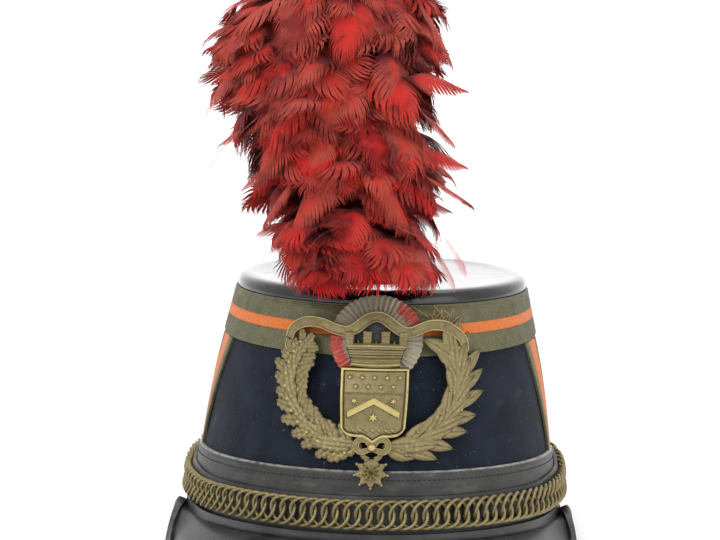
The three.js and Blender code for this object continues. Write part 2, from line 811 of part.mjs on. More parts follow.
// Flat tang that goes down between the galloon and the cockade
function tangGeometry() {
  const half = TANG_WIDTH / 2;
  const corners = [[-half, 0], [0, 0], [half, 0], [half, -TANG_THICK], [0, -TANG_THICK], [-half, -TANG_THICK]];
  const section = (height) => corners.map(([x, off]) => onFront(x, height, COCKADE_BACK - GAP - 0.1 + off));
  const lower = [78, 90, 100, PLUME_FOOT + 1].map(section);
  const upper = lower[lower.length - 1].map((p) => p.clone().setZ(PLUME_FOOT + 16));
  return loft([...lower, upper], flatOf(corners));
}

const FINISH = {
  cloth: { color: 0x14151c, roughness: 0.95, metalness: 0 },
  patent: { color: 0x101010, roughness: 0.2, metalness: 0 },
  leather: { color: 0x1c1a19, roughness: 0.55, metalness: 0 },
  lace: { color: 0x8a8672, roughness: 0.7, metalness: 0.2 },
  orange: { color: 0xb4562a, roughness: 0.85, metalness: 0 },
  brass: { color: 0x8c7440, roughness: 0.4, metalness: 1 },
  cockade: { color: 0xa33a26, roughness: 0.85, metalness: 0 },
  feather: { color: 0xa8322a, roughness: 0.95, metalness: 0 },
};

const shako = new THREE.Group();

function add(name, geometry, finish) {
  const mesh = new THREE.Mesh(geometry, new THREE.MeshStandardMaterial(FINISH[finish]));
  mesh.name = name;
  shako.add(mesh);
}

add("shell", shellGeometry(), "cloth");
add("crown_top", crownGeometry(), "patent");
add("lace_upper", laceGeometry(CROWN_LEVEL - LACE_BORDER, CROWN_LEVEL), "lace");
add("lace_stripe", laceGeometry(GALLOON_BOTTOM + LACE_BORDER + GAP, CROWN_LEVEL - LACE_BORDER - GAP), "orange");
add("lace_lower", laceGeometry(GALLOON_BOTTOM, GALLOON_BOTTOM + LACE_BORDER), "lace");
for (const [side, name] of [[-1, "left"], [1, "right"]]) {
  for (const [turn, arm] of [[1, "front"], [-1, "rear"]]) {
    const outer = laceStrip(side, turn, chevronLine(0), chevronLine(CHEVRON_BORDER));
    const stripeEnd = chevronLine(CHEVRON_BORDER + CHEVRON_STRIPE);
    const stripe = laceStrip(side, turn, chevronLine(CHEVRON_BORDER + GAP), stripeEnd);
    add(`chevron_${name}_${arm}_border`, outer, "lace");
    add(`chevron_${name}_${arm}_stripe`, stripe, "orange");
  }
  add(`chevron_${name}_inner_border`, chevronInner(side), "lace");
  add(`strap_stud_${name}`, studGeometry(side), "brass");
}
add("leather_band", bandGeometry(), "leather");
add("visor", visorGeometry(), "leather");
add("visor_binding", bindingGeometry(), "leather");
add("chin_strap", strapGeometry(), "leather");
add("chin_chain", chainGeometry(), "brass");
add("cockade", cockadeGeometry(), "cockade");
add("cap_plate", plateGeometry(), "brass");
add("plume", plumeGeometry(), "feather");

// Tipped back onto the visor's edge, with the middle of the part's box over the origin
shako.rotation.x = -REST_TILT;
shako.updateMatrixWorld(true);
const box = new THREE.Box3().setFromObject(shako, true);
shako.position.set(-(box.min.x + box.max.x) / 2, -(box.min.y + box.max.y) / 2, -box.min.z);

export default shako;
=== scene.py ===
import math

import bmesh
import bpy
import numpy as np
from mathutils import Matrix, Vector


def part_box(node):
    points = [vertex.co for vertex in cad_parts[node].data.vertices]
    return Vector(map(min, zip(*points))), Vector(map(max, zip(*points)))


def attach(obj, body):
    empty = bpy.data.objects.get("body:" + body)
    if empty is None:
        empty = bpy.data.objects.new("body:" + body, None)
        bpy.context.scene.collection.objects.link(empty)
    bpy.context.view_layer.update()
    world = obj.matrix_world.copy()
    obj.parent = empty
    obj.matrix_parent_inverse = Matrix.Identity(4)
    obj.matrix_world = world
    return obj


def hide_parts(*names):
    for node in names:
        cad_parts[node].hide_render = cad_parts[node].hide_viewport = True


bl_info = {
    "name": "Parade shako",
    "version": (1, 0, 0),
    "blender": (4, 5, 0),
    "location": "3D View > Sidebar > Shako",
    "description": "Dresses the packed shako in cloth, leather, lace, brass and feathers",
    "category": "Object",
}

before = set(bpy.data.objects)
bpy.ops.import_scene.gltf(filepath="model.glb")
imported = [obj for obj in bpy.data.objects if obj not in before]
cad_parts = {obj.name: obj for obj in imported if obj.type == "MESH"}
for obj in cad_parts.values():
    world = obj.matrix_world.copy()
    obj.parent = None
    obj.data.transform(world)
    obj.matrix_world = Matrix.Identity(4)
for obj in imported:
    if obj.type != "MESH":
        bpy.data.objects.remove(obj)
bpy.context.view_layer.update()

MM = 0.001

# Body, in millimetres in the hat's own frame: X to the right, Y to the back, Z up from the band's edge
BASE_HALF_WIDTH = 84.0
BASE_HALF_DEPTH = 103.0
INSET_LINEAR = 0.0535
INSET_SQUARE = 0.00097
DEPTH_INSET_RATIO = 1.13
WALL_THICK = 3.0
CROWN_LEVEL = 104.5
CROWN_TILT = math.radians(4)
TILT_FROM = 29.0
TILT_FULL = 80.0
LEAN_RIGHT = 0.019
LEAN_BACK = 0.014
GAP = 0.3
REST_TILT = math.radians(6.3)
REAR_FLAT = 0.25

# Galloon and chevrons
LACE_THICK = 1.1
LACE_BORDER = 8.3
LACE_STRIPE = 4.8
GALLOON_BOTTOM = CROWN_LEVEL - 2 * LACE_BORDER - LACE_STRIPE
CHEVRON_TOP_REACH = 40.0
CHEVRON_BOTTOM_REACH = 20.0
CHEVRON_BORDER = 5.4
CHEVRON_STRIPE = 13.9
CHEVRON_THICK = 0.9
CHEVRON_SEAT = 0.5
STRIP_GAP = 0.1
STRIP_EDGE = 0.0875
FACE_STEP = 0.9
SELVAGE = 2.6
SELVAGE_CORD = 0.84

# Leather band, strap and chain
BAND_HEIGHT = 29.0
BAND_THICK = 2.2
BAND_SEAM = BAND_HEIGHT - 3.7
BAND_GIRTH = 560
STITCH_WIDTH = 0.48
STITCH_HEIGHT = 0.4
STRAP_WIDTH = 15.0
STRAP_THICK = 1.5
STRAP_END = math.radians(113)
CHAIN_END = math.radians(105.2)
CHAIN_LINKS = 69
STUD_ANGLE = math.radians(109.2)
STUD_RADIUS = 6.5
STUD_RISE = 4.2
STUD_SHOULDER = 1.3
CHAIN_OFF = STRAP_THICK + GAP + 1.75
STRAP_HEIGHTS = ((0, 11.4), (55, 11.6), (80, 13.6), (98, 19.0), (113, 25.0))

# Visor
VISOR_ANGLE = math.radians(80)
VISOR_THICK = 2.2
STRAP_CLEAR = 0.9
FLANGE_BOTTOM = -1.5
FLANGE_SHARE = 0.2
VISOR_ARCH = 0.36
VISOR_TIP = 0.96
BINDING_WIDTH = 4.6
BINDING_THICK = 0.9
BINDING_CLEAR = 0.75
BINDING_SINK = 0.35
EDGE_DROP = 1.2
BEND_OUT = 0.4
VISOR_PLAN = np.array([[0, -148.5], [62, -148.5], [100, -90], [89.4, -17.5]])

# Plate, cockade and plume
PLATE_BACK = 3.1
PLATE_LIFT = 4.2
LIFT_HEIGHTS = (42, 64)
LIFT_SIDES = (21, 34)
COCKADE_RADIUS = 18.8
COCKADE_HEIGHT = 84.5
COCKADE_BACK = 4.1
COCKADE_HOLLOW = 11
PLEATS = 48
PLEAT_STEPS = 8
PLUME_FOOT = 107.0
PLUME_TOP = 160.0
PLUME_LEAN = 0.04
TANG_HEIGHT = 100.0
TANG_HALF = 0.85
# Height of the tips above the foot, their reach, and how far left of the root the middle lies
PLUME_SHAPE = np.array([
    [-2, 30, 3], [3, 32, 5], [12, 33, 11], [21, 37, 13.4], [34, 40, 16], [47, 46, 16],
    [60, 45, 19], [68, 42, 22], [78, 50, 22], [86, 53, 21.6], [103, 51, 21.8], [125, 43, 19],
    [145, 33, 19], [158, 22, 19], [168, 9, 19],
])
PLUME_DEPTH_RATIO = 0.86

# Wreath, shield, crown and star of the plate, by their heights above the base plane
WREATH_HALF_WIDTH = 35.3
WREATH_HALF_HEIGHT = 27.5
WREATH_MIDDLE = 65.5
SHIELD_HALF = 13.0
SHIELD_TOP = 73.4
SHIELD_SIDE = 48.0
SHIELD_FOOT = 43.4
SHIELD_POINT = 40.9
CHIEF_LINE = 62.6
CHEVRON_PEAK = 59.6
CHEVRON_SLOPE = 0.62
ROPE_HEIGHT = 46.6
MURAL_HALF = 11.6
MURAL_FOOT = 73.9
MURAL_TOP = 83.0
MERLON_REACH = 10.2
MERLON_FOOT = 82.6
STAR_HEIGHT = 28.9
STAR_POINTS = 9
STAR_BEADS = 6.8
TASSEL_HEIGHT = 34.6

BACK_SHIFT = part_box("leather_band")[0].y / MM + (BASE_HALF_DEPTH + GAP + BAND_THICK) * math.cos(REST_TILT)
UP_SHIFT = (BASE_HALF_DEPTH + GAP + BAND_THICK) * math.sin(REST_TILT) - REAR_FLAT * math.cos(REST_TILT)


def to_row(points):
    """Points of the hat's own frame, in millimetres, in the row frame, in metres."""
    points = np.asarray(points, float)
    x, y, z = points[..., 0], points[..., 1], points[..., 2]
    back = y * math.cos(REST_TILT) + z * math.sin(REST_TILT) + BACK_SHIFT
    up = z * math.cos(REST_TILT) - y * math.sin(REST_TILT) + UP_SHIFT
    return np.stack([x, back, up], -1) * MM


def lerp(low, high, share):
    return low + (high - low) * share


def smooth(value, low, high):
    """0 below low and 1 above high, with a soft step between them."""
    share = np.clip((np.asarray(value, float) - low) / (high - low), 0, 1)
    return share * share * (3 - 2 * share)


def bell(away, width):
    """A soft ridge: 1 where away is nothing, and close to 0 past the width."""
    return np.exp(-((away / width) ** 2))


def unit(vectors):
    return vectors / np.maximum(np.linalg.norm(vectors, axis=-1, keepdims=True), 1e-9)


def inset(level):
    return INSET_LINEAR * level + INSET_SQUARE * level * level


def half_width(level):
    return BASE_HALF_WIDTH - inset(level)


def wall(angle, level, off=0.0):
    """A point of the cloth wall: angle 0 is the front, and off stands away from the cloth."""
    angle, level, off = np.broadcast_arrays(*(np.asarray(v, float) for v in (angle, level, off)))
    x = (half_width(level) + off) * np.sin(angle) + LEAN_RIGHT * level
    depth = BASE_HALF_DEPTH - DEPTH_INSET_RATIO * inset(level)
    y = -(depth + off) * np.cos(angle) + LEAN_BACK * level
    tilt = math.tan(CROWN_TILT) * smooth(level, TILT_FROM, TILT_FULL)
    return np.stack([x, y, level + tilt * y], -1)


def floor_under(y):
    """Height of the floor in the hat's own frame."""
    return (y - BASE_HALF_DEPTH - BAND_THICK - GAP) * math.tan(REST_TILT) + REAR_FLAT


def pressed(points):
    """Leather pressed flat where it stands on the floor."""
    points[..., 2] = np.maximum(points[..., 2], floor_under(points[..., 1]))
    return points


def strap_level(angle):
    """Height of the strap's middle at an angle from the front."""
    degrees = np.abs(np.degrees(angle))
    level = np.full_like(degrees, STRAP_HEIGHTS[-1][1])
    for (start, low), (end, high) in reversed(list(zip(STRAP_HEIGHTS, STRAP_HEIGHTS[1:]))):
        level = np.where(degrees <= end, lerp(low, high, smooth(degrees, start, end)), level)
    return level


def on_band(angle, rise, off):
    """A point of the strap or chain, by its rise from the strap's middle."""
    level = strap_level(np.asarray(angle, float)) + rise
    points = wall(angle, np.minimum(level, BAND_HEIGHT), GAP + BAND_THICK + GAP + off)
    points[..., 2] = level
    return points


def flange_top(angle):
    """Top of the visor's flange, which follows the strap's lower edge."""
    return strap_level(angle) - STRAP_WIDTH / 2 - STRAP_CLEAR


def visor_edge(share):
    """The visor's outer edge, as low as its binding allows, and raised to the band at its ends."""
    t = np.abs(share)[..., None]
    flat = (1 - t) ** 3 * VISOR_PLAN[0] + 3 * (1 - t) ** 2 * t * VISOR_PLAN[1]
    flat = flat + 3 * (1 - t) * t * t * VISOR_PLAN[2] + t ** 3 * VISOR_PLAN[3]
    low = floor_under(flat[..., 1]) + VISOR_THICK / 2 + BINDING_THICK + BINDING_CLEAR - BINDING_SINK
    level = lerp(low, flange_top(share * VISOR_ANGLE) - EDGE_DROP, smooth(t[..., 0], 0.8, 1))
    return np.stack([np.sign(share) * flat[..., 0], flat[..., 1], level], -1)


def visor_point(share, across):
    """Middle surface of the visor: down its flange on the band, then out to the edge."""
    share, across = np.broadcast_arrays(np.asarray(share, float), np.asarray(across, float))
    angle = share * VISOR_ANGLE
    off = GAP + BAND_THICK + GAP + VISOR_THICK / 2
    root = wall(angle, 0, off)
    root[..., 2] = flange_top(angle)
    bend = wall(angle, 0, off + BEND_OUT)
    bend[..., 2] = FLANGE_BOTTOM
    edge = visor_edge(share)
    flange = lerp(root, bend, np.clip(across / FLANGE_SHARE, 0, 1)[..., None])
    t = np.clip((across - FLANGE_SHARE) / (1 - FLANGE_SHARE), 0, 1)[..., None]
    out = lerp(bend, edge, t)
    out[..., 2] += VISOR_ARCH * np.linalg.norm(edge - bend, axis=-1) * t[..., 0] * (1 - t[..., 0])
    return np.where((across <= FLANGE_SHARE)[..., None], flange, out)


def visor_normal(share, across, step=0.01):
    share, across = np.broadcast_arrays(np.asarray(share, float), np.asarray(across, float))
    ahead, behind = np.minimum(share + step, 1), np.maximum(share - step, -1)
    further, nearer = np.minimum(across + step, 1), np.maximum(across - step, 0)
    along = visor_point(ahead, across) - visor_point(behind, across)
    out = visor_point(share, further) - visor_point(share, nearer)
    return -unit(np.cross(along, out))


def on_front(x, height, off):
    """A point in front of the wall, by its x and its height above the base plane."""
    x, height, off = np.broadcast_arrays(*(np.asarray(v, float) for v in (x, height, off)))
    level = height.copy()
    for _ in range(6):
        level = level + height - wall(0, level)[..., 2]
    return wall(x / half_width(level), level, off)


def on_plate(x, height, rise):
    """A point over the plate's back, which stands further out over the cockade."""
    lift = smooth(height, *LIFT_HEIGHTS) * (1 - smooth(np.abs(x), *LIFT_SIDES))
    return on_front(x, height, PLATE_BACK + PLATE_LIFT * lift + rise)


PLUME_ROOT = on_front(0, TANG_HEIGHT, COCKADE_BACK - GAP - TANG_HALF)


def plume_reach(height):
    return np.interp(height, PLUME_SHAPE[:, 0], PLUME_SHAPE[:, 1])


def plume_left(height):
    return np.interp(height, PLUME_SHAPE[:, 0], PLUME_SHAPE[:, 2])


def plume_point(height, left, radius, angle):
    """A point at a height above the plume's foot, round a middle that lies left of the root."""
    x = PLUME_ROOT[0] - left + radius * np.sin(angle)
    y = PLUME_ROOT[1] - 1 + PLUME_LEAN * height - radius * np.cos(angle) * PLUME_DEPTH_RATIO
    return np.stack(np.broadcast_arrays(x, y, PLUME_FOOT + height), -1)


def placed_object(name, data):
    """An object in the scene, at the origin until it is moved."""
    piece = bpy.data.objects.new(name, data)
    bpy.context.scene.collection.objects.link(piece)
    return piece


def face_outwards(mesh, weld=0.0):
    """Turns a mesh's faces outwards, after points closer than weld are merged."""
    work = bmesh.new()
    work.from_mesh(mesh)
    if weld:
        bmesh.ops.remove_doubles(work, verts=work.verts, dist=weld)
    bmesh.ops.recalc_face_normals(work, faces=work.faces)
    work.to_mesh(mesh)
    work.free()


class Stock:
    """Collects grids of points in the hat's own frame and makes one mesh of them."""

    def __init__(self):
        self.points = []
        self.faces = []
        self.places = []
        self.total = 0

    def grid(self, points, places=None, ring=False, loop=False):
        """Adds rows of points. ring closes the rows on themselves, and loop each row."""
        rows, columns = points.shape[:2]
        if places is None:
            places = np.zeros((rows + ring, columns + loop, 2))
        steps = (np.arange(rows if ring else rows - 1), np.arange(columns if loop else columns - 1))
        r, c = np.meshgrid(*steps, indexing="ij")
        r1 = (r + 1) % rows
        c1 = (c + 1) % columns
        corners = [r * columns + c, r * columns + c1, r1 * columns + c1, r1 * columns + c]
        self.faces.append(np.stack(corners, -1).reshape(-1, 4) + self.total)
        spots = [places[r, c], places[r, c + 1], places[r + 1, c + 1], places[r + 1, c]]
        self.places.append(np.stack(spots, 2).reshape(-1, 2))
        self.points.append(points.reshape(-1, 3))
        self.total += rows * columns

    def lofted(self, sections, places=None):
        """Adds closed sections joined to a rod, with a cap at each end."""
        self.grid(sections, places, loop=True)
        for section in (sections[0], sections[-1]):
            middle = np.broadcast_to(section.mean(0), section.shape)
            self.grid(np.stack([section, middle]), loop=True)

    def make(self, name, finish, crease=40, weld=0.000002):
        mesh = bpy.data.meshes.new(name)
        points = to_row(np.concatenate(self.points))
        mesh.from_pydata(points.tolist(), [], np.concatenate(self.faces).tolist())
        layer = mesh.uv_layers.new(name="place")
        layer.data.foreach_set("uv", np.concatenate(self.places).astype(np.float32).ravel())
        if weld:
            face_outwards(mesh, weld)
        mesh.shade_smooth()
        mesh.set_sharp_from_angle(angle=math.radians(crease))
        mesh.materials.append(finish)
        return placed_object(name, mesh)


def dressed(piece, slot, *nodes):
    """Hangs a finished piece on the hat, in place of the nodes that it stands for."""
    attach(piece, "root")
    if nodes:
        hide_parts(*nodes)


def hoop_angles(count):
    return np.linspace(0, math.tau, count, endpoint=False)


def tube(stock, path, radius, sides):
    """Adds a round rod along a path of points."""
    along = unit(np.gradient(path, axis=0))
    side = unit(np.cross(along, np.array([0.13, 0.21, 0.97])))
    up = np.cross(side, along)
    turn = hoop_angles(sides)[None, :, None]
    stock.lofted(path[:, None] + radius * (side[:, None] * np.cos(turn) + up[:, None] * np.sin(turn)))


def tone(red, green, blue):
    """A colour given on the usual 0 to 255 scale, as the linear values that a shader takes."""
    values = []
    for part in (red / 255, green / 255, blue / 255):
        values.append(part / 12.92 if part <= 0.04045 else ((part + 0.055) / 1.055) ** 2.4)
    return tuple(values)


def shaded(value, share):
    """A colour made darker, or lighter where share is over 1."""
    return tuple(part * share for part in tuple(value)[:3])


# Colours of dust, wear and thread, and of painted shade, which a user has no need to change
DUST = tone(118, 120, 128)
SMUDGE = tone(104, 106, 112)
RUBBED_EDGE = tone(150, 148, 142)
GILT_WARP = tone(168, 150, 96)
GILT_THREAD = tone(190, 158, 88)
LACE_BLOOM = tone(92, 104, 98)
ORANGE_SOIL = tone(176, 84, 46)
BAND_THREAD = tone(40, 38, 36)
VISOR_THREAD = tone(58, 54, 50)
BARB_STREAK = tone(200, 106, 92)
PALE_DOWN = tone(206, 104, 96)
PLUME_CORE_SHADE = tone(84, 8, 14)
PAPER = tone(243, 243, 243)
PAPER_LIGHT = tone(249, 249, 249)


def colour(name, description, red, green, blue):
    return bpy.props.FloatVectorProperty(
        name=name, description=description, subtype="COLOR", size=3, min=0, max=1,
        default=tone(red, green, blue),
    )


def length(name, description, millimetres):
    return bpy.props.FloatProperty(
        name=name, description=description, unit="LENGTH", min=0, precision=5,
        default=millimetres * MM,
    )


class ShakoColours(bpy.types.PropertyGroup):
    """Colours of the hat's cloth, leather, lace, brass and feathers"""

    cloth: colour("Cloth", "Navy wool of the body", 24, 29, 39)
    patent: colour("Crown leather", "Patent leather of the crown", 16, 16, 18)
    leather: colour("Worn leather", "Band and strap", 36, 36, 35)
    leather_worn: colour("Rubbed leather", "Leather where it is rubbed", 92, 92, 90)
    visor: colour("Visor leather", "Visor and its binding", 30, 30, 32)
    lace: colour("Metal lace", "Tarnished silver lace", 102, 99, 72)
    lace_dark: colour("Lace tarnish", "Darkest tarnish of the lace", 70, 70, 56)
    orange: colour("Orange stripe", "Ribbed stripe of the galloon and chevrons", 206, 112, 52)
    brass: colour("Brass", "Old brass on the flats", 136, 123, 86)
    # Lighter on raised parts and darker in hollows: rubbing and tarnish, together with painted highlight and
    # painted shade
    brass_light: colour("Rubbed brass", "Brass on the raised edges", 202, 184, 118)
    brass_dark: colour("Brass tarnish", "Brass in the hollows", 62, 53, 34)
    pleat_silver: colour("Pleats, silver", "Silver pleats of the cockade", 164, 156, 134)
    pleat_red: colour("Pleats, red", "Red pleats of the cockade", 196, 82, 70)
    pleat_dark: colour("Pleats, dark", "Dark grey middle of the cockade", 62, 64, 70)
    # Painted shade: the colour of the feathers inside the plume and in its dark gaps
    feather_shade: colour("Feather, deep", "Feathers inside the plume", 80, 8, 20)
    feather_bright: colour("Feather, bright", "Fresh red of the plume", 182, 33, 28)
    # Partly real fading and partly painted light on the feathers' lit outer sides
    feather_dusty: colour("Feather, faded", "Faded upper side of the feathers", 160, 64, 52)


class ShakoSizes(bpy.types.PropertyGroup):
    """Sizes of the hat's small details"""

    rib_pitch: length("Lace rib", "Distance from rib to rib of the lace", 0.56)
    rib_depth: length("Rib depth", "How deep the lace's ribs are", 0.07)
    stitch_pitch: length("Stitch pitch", "Distance from stitch to stitch", 2.3)
    stitch_length: length("Stitch length", "Length of a stitch", 1.5)
    ring_radius: length("Chain ring", "Radius of a chain ring to the middle of its wire", 5.75)
    ring_wire: length("Chain wire", "Thickness of the chain's wire", 1.45)
    ring_saddle: length("Chain twist", "How far a chain ring is twisted", 1.15)
    pleat_depth: length("Pleat depth", "Depth of the cockade's pleats at their edge", 1.1)
    feather_length: length("Feather length", "Usual length of a feather in the plume", 50)
    feathers: bpy.props.IntProperty(
        name="Feathers", description="Number of broad feathers in the plume", default=930, min=100, max=1200,
    )


def colours():
    return bpy.context.scene.shako_colours


def sizes():
    return bpy.context.scene.shako_sizes


class Finish:
    """A procedural material, with short calls for its nodes."""

    def __init__(self, name, **settings):
        self.material = bpy.data.materials.new(name)
        self.material.use_nodes = True
        self.tree = self.material.node_tree
        self.shader = self.tree.nodes["Principled BSDF"]
        self.relief = None
        for socket, value in settings.items():
            self.shader.inputs[socket.replace("_", " ")].default_value = value

    def feed(self, socket, value):
        if isinstance(value, bpy.types.NodeSocket):
            self.tree.links.new(value, socket)
        elif socket.type == "RGBA":
            socket.default_value = (*tuple(value)[:3], 1)
        else:
            socket.default_value = value

    def node(self, kind, inputs, output=0, **settings):
        node = self.tree.nodes.new(kind)
        for name, value in settings.items():
            setattr(node, name, value)
        for socket, value in inputs.items():
            self.feed(node.inputs[socket], value)
        return node.outputs[output]

    def spot(self, scale=(1000, 1000, 1000), source="Object"):
        """The place on the piece, in millimetres from its Object coordinates."""
        origin = self.node("ShaderNodeTexCoord", {}, source)
        return self.node("ShaderNodeMapping", {"Vector": origin, "Scale": scale})

    def map_place(self, along=1.0, across=1.0):
        """The place on the piece's own map, drawn together along and across."""
        return self.spot((along, across, 1), "UV")

    def part(self, vector, axis):
        return self.node("ShaderNodeSeparateXYZ", {0: vector}, axis)

    def stored(self, label):
        """A number that the mesh holds for each of its points."""
        return self.node("ShaderNodeAttribute", {}, "Fac", attribute_name=label)

    def noise(self, vector, scale, detail=3.0, roughness=0.55):
        inputs = {"Vector": vector, "Scale": scale, "Detail": detail, "Roughness": roughness}
        return self.node("ShaderNodeTexNoise", inputs)

    def cells(self, vector, scale):
        return self.node("ShaderNodeTexVoronoi", {"Vector": vector, "Scale": scale})

    def maths(self, operation, first, second=0.0):
        return self.node("ShaderNodeMath", {0: first, 1: second}, operation=operation)

    def between(self, value, low, high):
        """0 below low and 1 above high, or the other way round."""
        inputs = {"Value": value, "From Min": low, "From Max": high}
        return self.node("ShaderNodeMapRange", inputs, interpolation_type="SMOOTHSTEP")

    def scaled(self, value, low, high):
        return self.node("ShaderNodeMapRange", {"Value": value, "To Min": low, "To Max": high})

    def blend(self, share, first, second, mode="MIX"):
        inputs = {0: share, 6: first, 7: second}
        return self.node("ShaderNodeMix", inputs, 2, data_type="RGBA", blend_type=mode)

    def shades(self, colour, value, low, high, first, second):
        """A colour whose shade goes from first to second as the value goes from low to high."""
        return self.blend(self.between(value, low, high), shaded(colour, first), shaded(colour, second))

    def laid(self, base, colour, value, low, high, share=None):
        """Another colour laid over the base as the value goes from low to high."""
        amount = self.between(value, low, high)
        if share is not None:
            amount = self.maths("MULTIPLY", amount, share)
        return self.blend(amount, base, colour)

    def raise_by(self, height, millimetres, strength=1.0):
        inputs = {"Height": height, "Distance": millimetres * MM, "Strength": strength}
        if self.relief is not None:
            inputs["Normal"] = self.relief
        self.relief = self.node("ShaderNodeBump", inputs)
        self.feed(self.shader.inputs["Normal"], self.relief)

    def paint(self, value, roughness=None):
        self.feed(self.shader.inputs["Base Color"], value)
        if roughness is not None:
            self.feed(self.shader.inputs["Roughness"], roughness)
        return self.material


def cloth_finish():
    finish = Finish("navy_wool", Sheen_Weight=0.05, Sheen_Roughness=0.5, Specular_IOR_Level=0.1)
    cloth = colours().cloth
    spot = finish.spot()
    nap = finish.noise(spot, 2.6, 4, 0.7)
    base = finish.shades(cloth, finish.noise(spot, 0.07, 3), 0.35, 0.7, 0.62, 1.25)
    base = finish.laid(base, shaded(cloth, 1.9), nap, 0.4, 0.75)
    base = finish.laid(base, DUST, finish.noise(spot, 0.85, 2), 0.69, 0.76, 0.55)
    smudge = finish.between(finish.noise(spot, 0.045, 3, 0.65), 0.6, 0.78)
    smudge = finish.maths("MULTIPLY", smudge, finish.scaled(finish.noise(spot, 1.3, 3), 0.05, 0.4))
    base = finish.blend(smudge, base, SMUDGE)
    finish.raise_by(nap, 0.22, 0.8)
    finish.raise_by(finish.noise(spot, 0.5, 2), 0.25, 0.35)
    return finish.paint(base, finish.scaled(nap, 0.8, 1.0))


def patent_finish():
    finish = Finish("patent_leather", Coat_Weight=0.2, Coat_Roughness=0.1)
    spot = finish.spot()
    grime = finish.noise(spot, 0.09, 4, 0.6)
    base = finish.shades(colours().patent, grime, 0.4, 0.75, 0.6, 2.0)
    finish.raise_by(finish.noise(spot, 0.12, 3), 0.5, 0.15)
    finish.raise_by(finish.cells(spot, 1.1), 0.05, 0.2)
    return finish.paint(base, finish.scaled(grime, 0.1, 0.26))


def leather_finish(name, base, rub=0.4, edge=None, gloss=0.0):
    """Grained leather. edge is the place along the map's second axis where its edge is rubbed light."""
    finish = Finish(name, Coat_Weight=gloss, Coat_Roughness=0.3, Specular_IOR_Level=0.5)
    rubbed = colours().leather_worn
    spot = finish.spot()
    streaks = finish.noise(finish.spot((300, 300, 1400)), 0.16, 5, 0.65)
    scratches = finish.noise(finish.spot((260, 260, 2600)), 0.9, 2, 0.5)
    patches_and_sheen = finish.noise(spot, 0.06, 4, 0.6)
    # Light and dark patches: real blotches of the leather, together with painted sheen
    shade = finish.shades(base, patches_and_sheen, 0.34, 0.68, 0.4, 1.6)
    shade = finish.laid(shade, rubbed, streaks, 0.5, 0.74, rub)
    shade = finish.laid(shade, rubbed, scratches, 0.69, 0.74, 0.3)
    if edge is not None:
        line = finish.between(finish.part(finish.map_place(), "Y"), edge - 0.9, edge - 0.1)
        shade = finish.laid(shade, RUBBED_EDGE, finish.noise(spot, 0.3, 3), 0.25, 0.6, line)
    finish.raise_by(finish.cells(spot, 1.25), 0.09, 0.4)
    finish.raise_by(streaks, 0.25, 0.35)
    return finish.paint(shade, finish.scaled(patches_and_sheen, 0.34, 0.62))


def lace_finish():
    finish = Finish("metal_lace", Metallic=0.25, Specular_IOR_Level=0.4)
    spot = finish.spot()
    threads = finish.noise(finish.map_place(3.4, 0.35), 1.0, 3, 0.7)
    warp = finish.noise(finish.map_place(0.4, 3.2), 1.0, 2, 0.6)
    tarnish = finish.noise(spot, 0.16, 4, 0.65)
    base = finish.shades(colours().lace, threads, 0.3, 0.72, 0.55, 1.25)
    base = finish.laid(base, colours().lace_dark, tarnish, 0.42, 0.72, 0.6)
    base = finish.laid(base, GILT_WARP, warp, 0.5, 0.8, 0.35)
    base = finish.laid(base, LACE_BLOOM, finish.noise(spot, 0.3, 2), 0.62, 0.75, 0.25)
    finish.raise_by(threads, 0.12, 0.5)
    finish.raise_by(warp, 0.08, 0.5)
    finish.raise_by(finish.noise(finish.map_place(), 0.22, 2), 0.3, 0.3)
    return finish.paint(base, finish.scaled(tarnish, 0.42, 0.7))


def orange_finish():
    finish = Finish("orange_stripe", Sheen_Weight=0.15, Specular_IOR_Level=0.2)
    ribs = finish.noise(finish.map_place(3.6, 0.3), 1.0, 2, 0.6)
    base = finish.shades(colours().orange, ribs, 0.25, 0.7, 0.66, 1.12)
    base = finish.laid(base, ORANGE_SOIL, finish.noise(finish.spot(), 0.12, 4, 0.6), 0.5, 0.8, 0.5)
    finish.raise_by(ribs, 0.1, 0.5)
    return finish.paint(base, 0.8)


def brass_finish(name, mapped=True):
    """Old brass. Where the piece has a map, its second axis says how far the form stands up: the raised parts
    are painted light, as rubbed brass and painted highlight, and the hollows dark, as tarnish and painted
    shade.
    """
    finish = Finish(name, Metallic=0.55, Specular_IOR_Level=0.4)
    light, dark = colours().brass_light, colours().brass_dark
    spot = finish.spot()
    tarnish = finish.noise(spot, 0.35, 5, 0.65)
    fine = finish.noise(spot, 2.2, 3, 0.6)
    base = finish.shades(colours().brass, tarnish, 0.35, 0.7, 1.0, 0.72)
    if mapped:
        height = finish.part(finish.map_place(), "Y")
        height = finish.maths("ADD", height, finish.scaled(tarnish, -0.25, 0.25))
        # Tarnish and painted shade in the hollows, rubbed brass and painted highlight on the raised parts
        base = finish.laid(base, dark, height, 0.42, 0.1, 0.85)
        base = finish.laid(base, light, height, 0.66, 1.0, 0.8)
    else:
        base = finish.laid(base, light, fine, 0.5, 0.75, 0.6)
    base = finish.laid(base, dark, finish.noise(spot, 0.8, 3), 0.6, 0.72, 0.5)
    finish.raise_by(fine, 0.06, 0.35)
    return finish.paint(base, finish.scaled(tarnish, 0.36, 0.6))


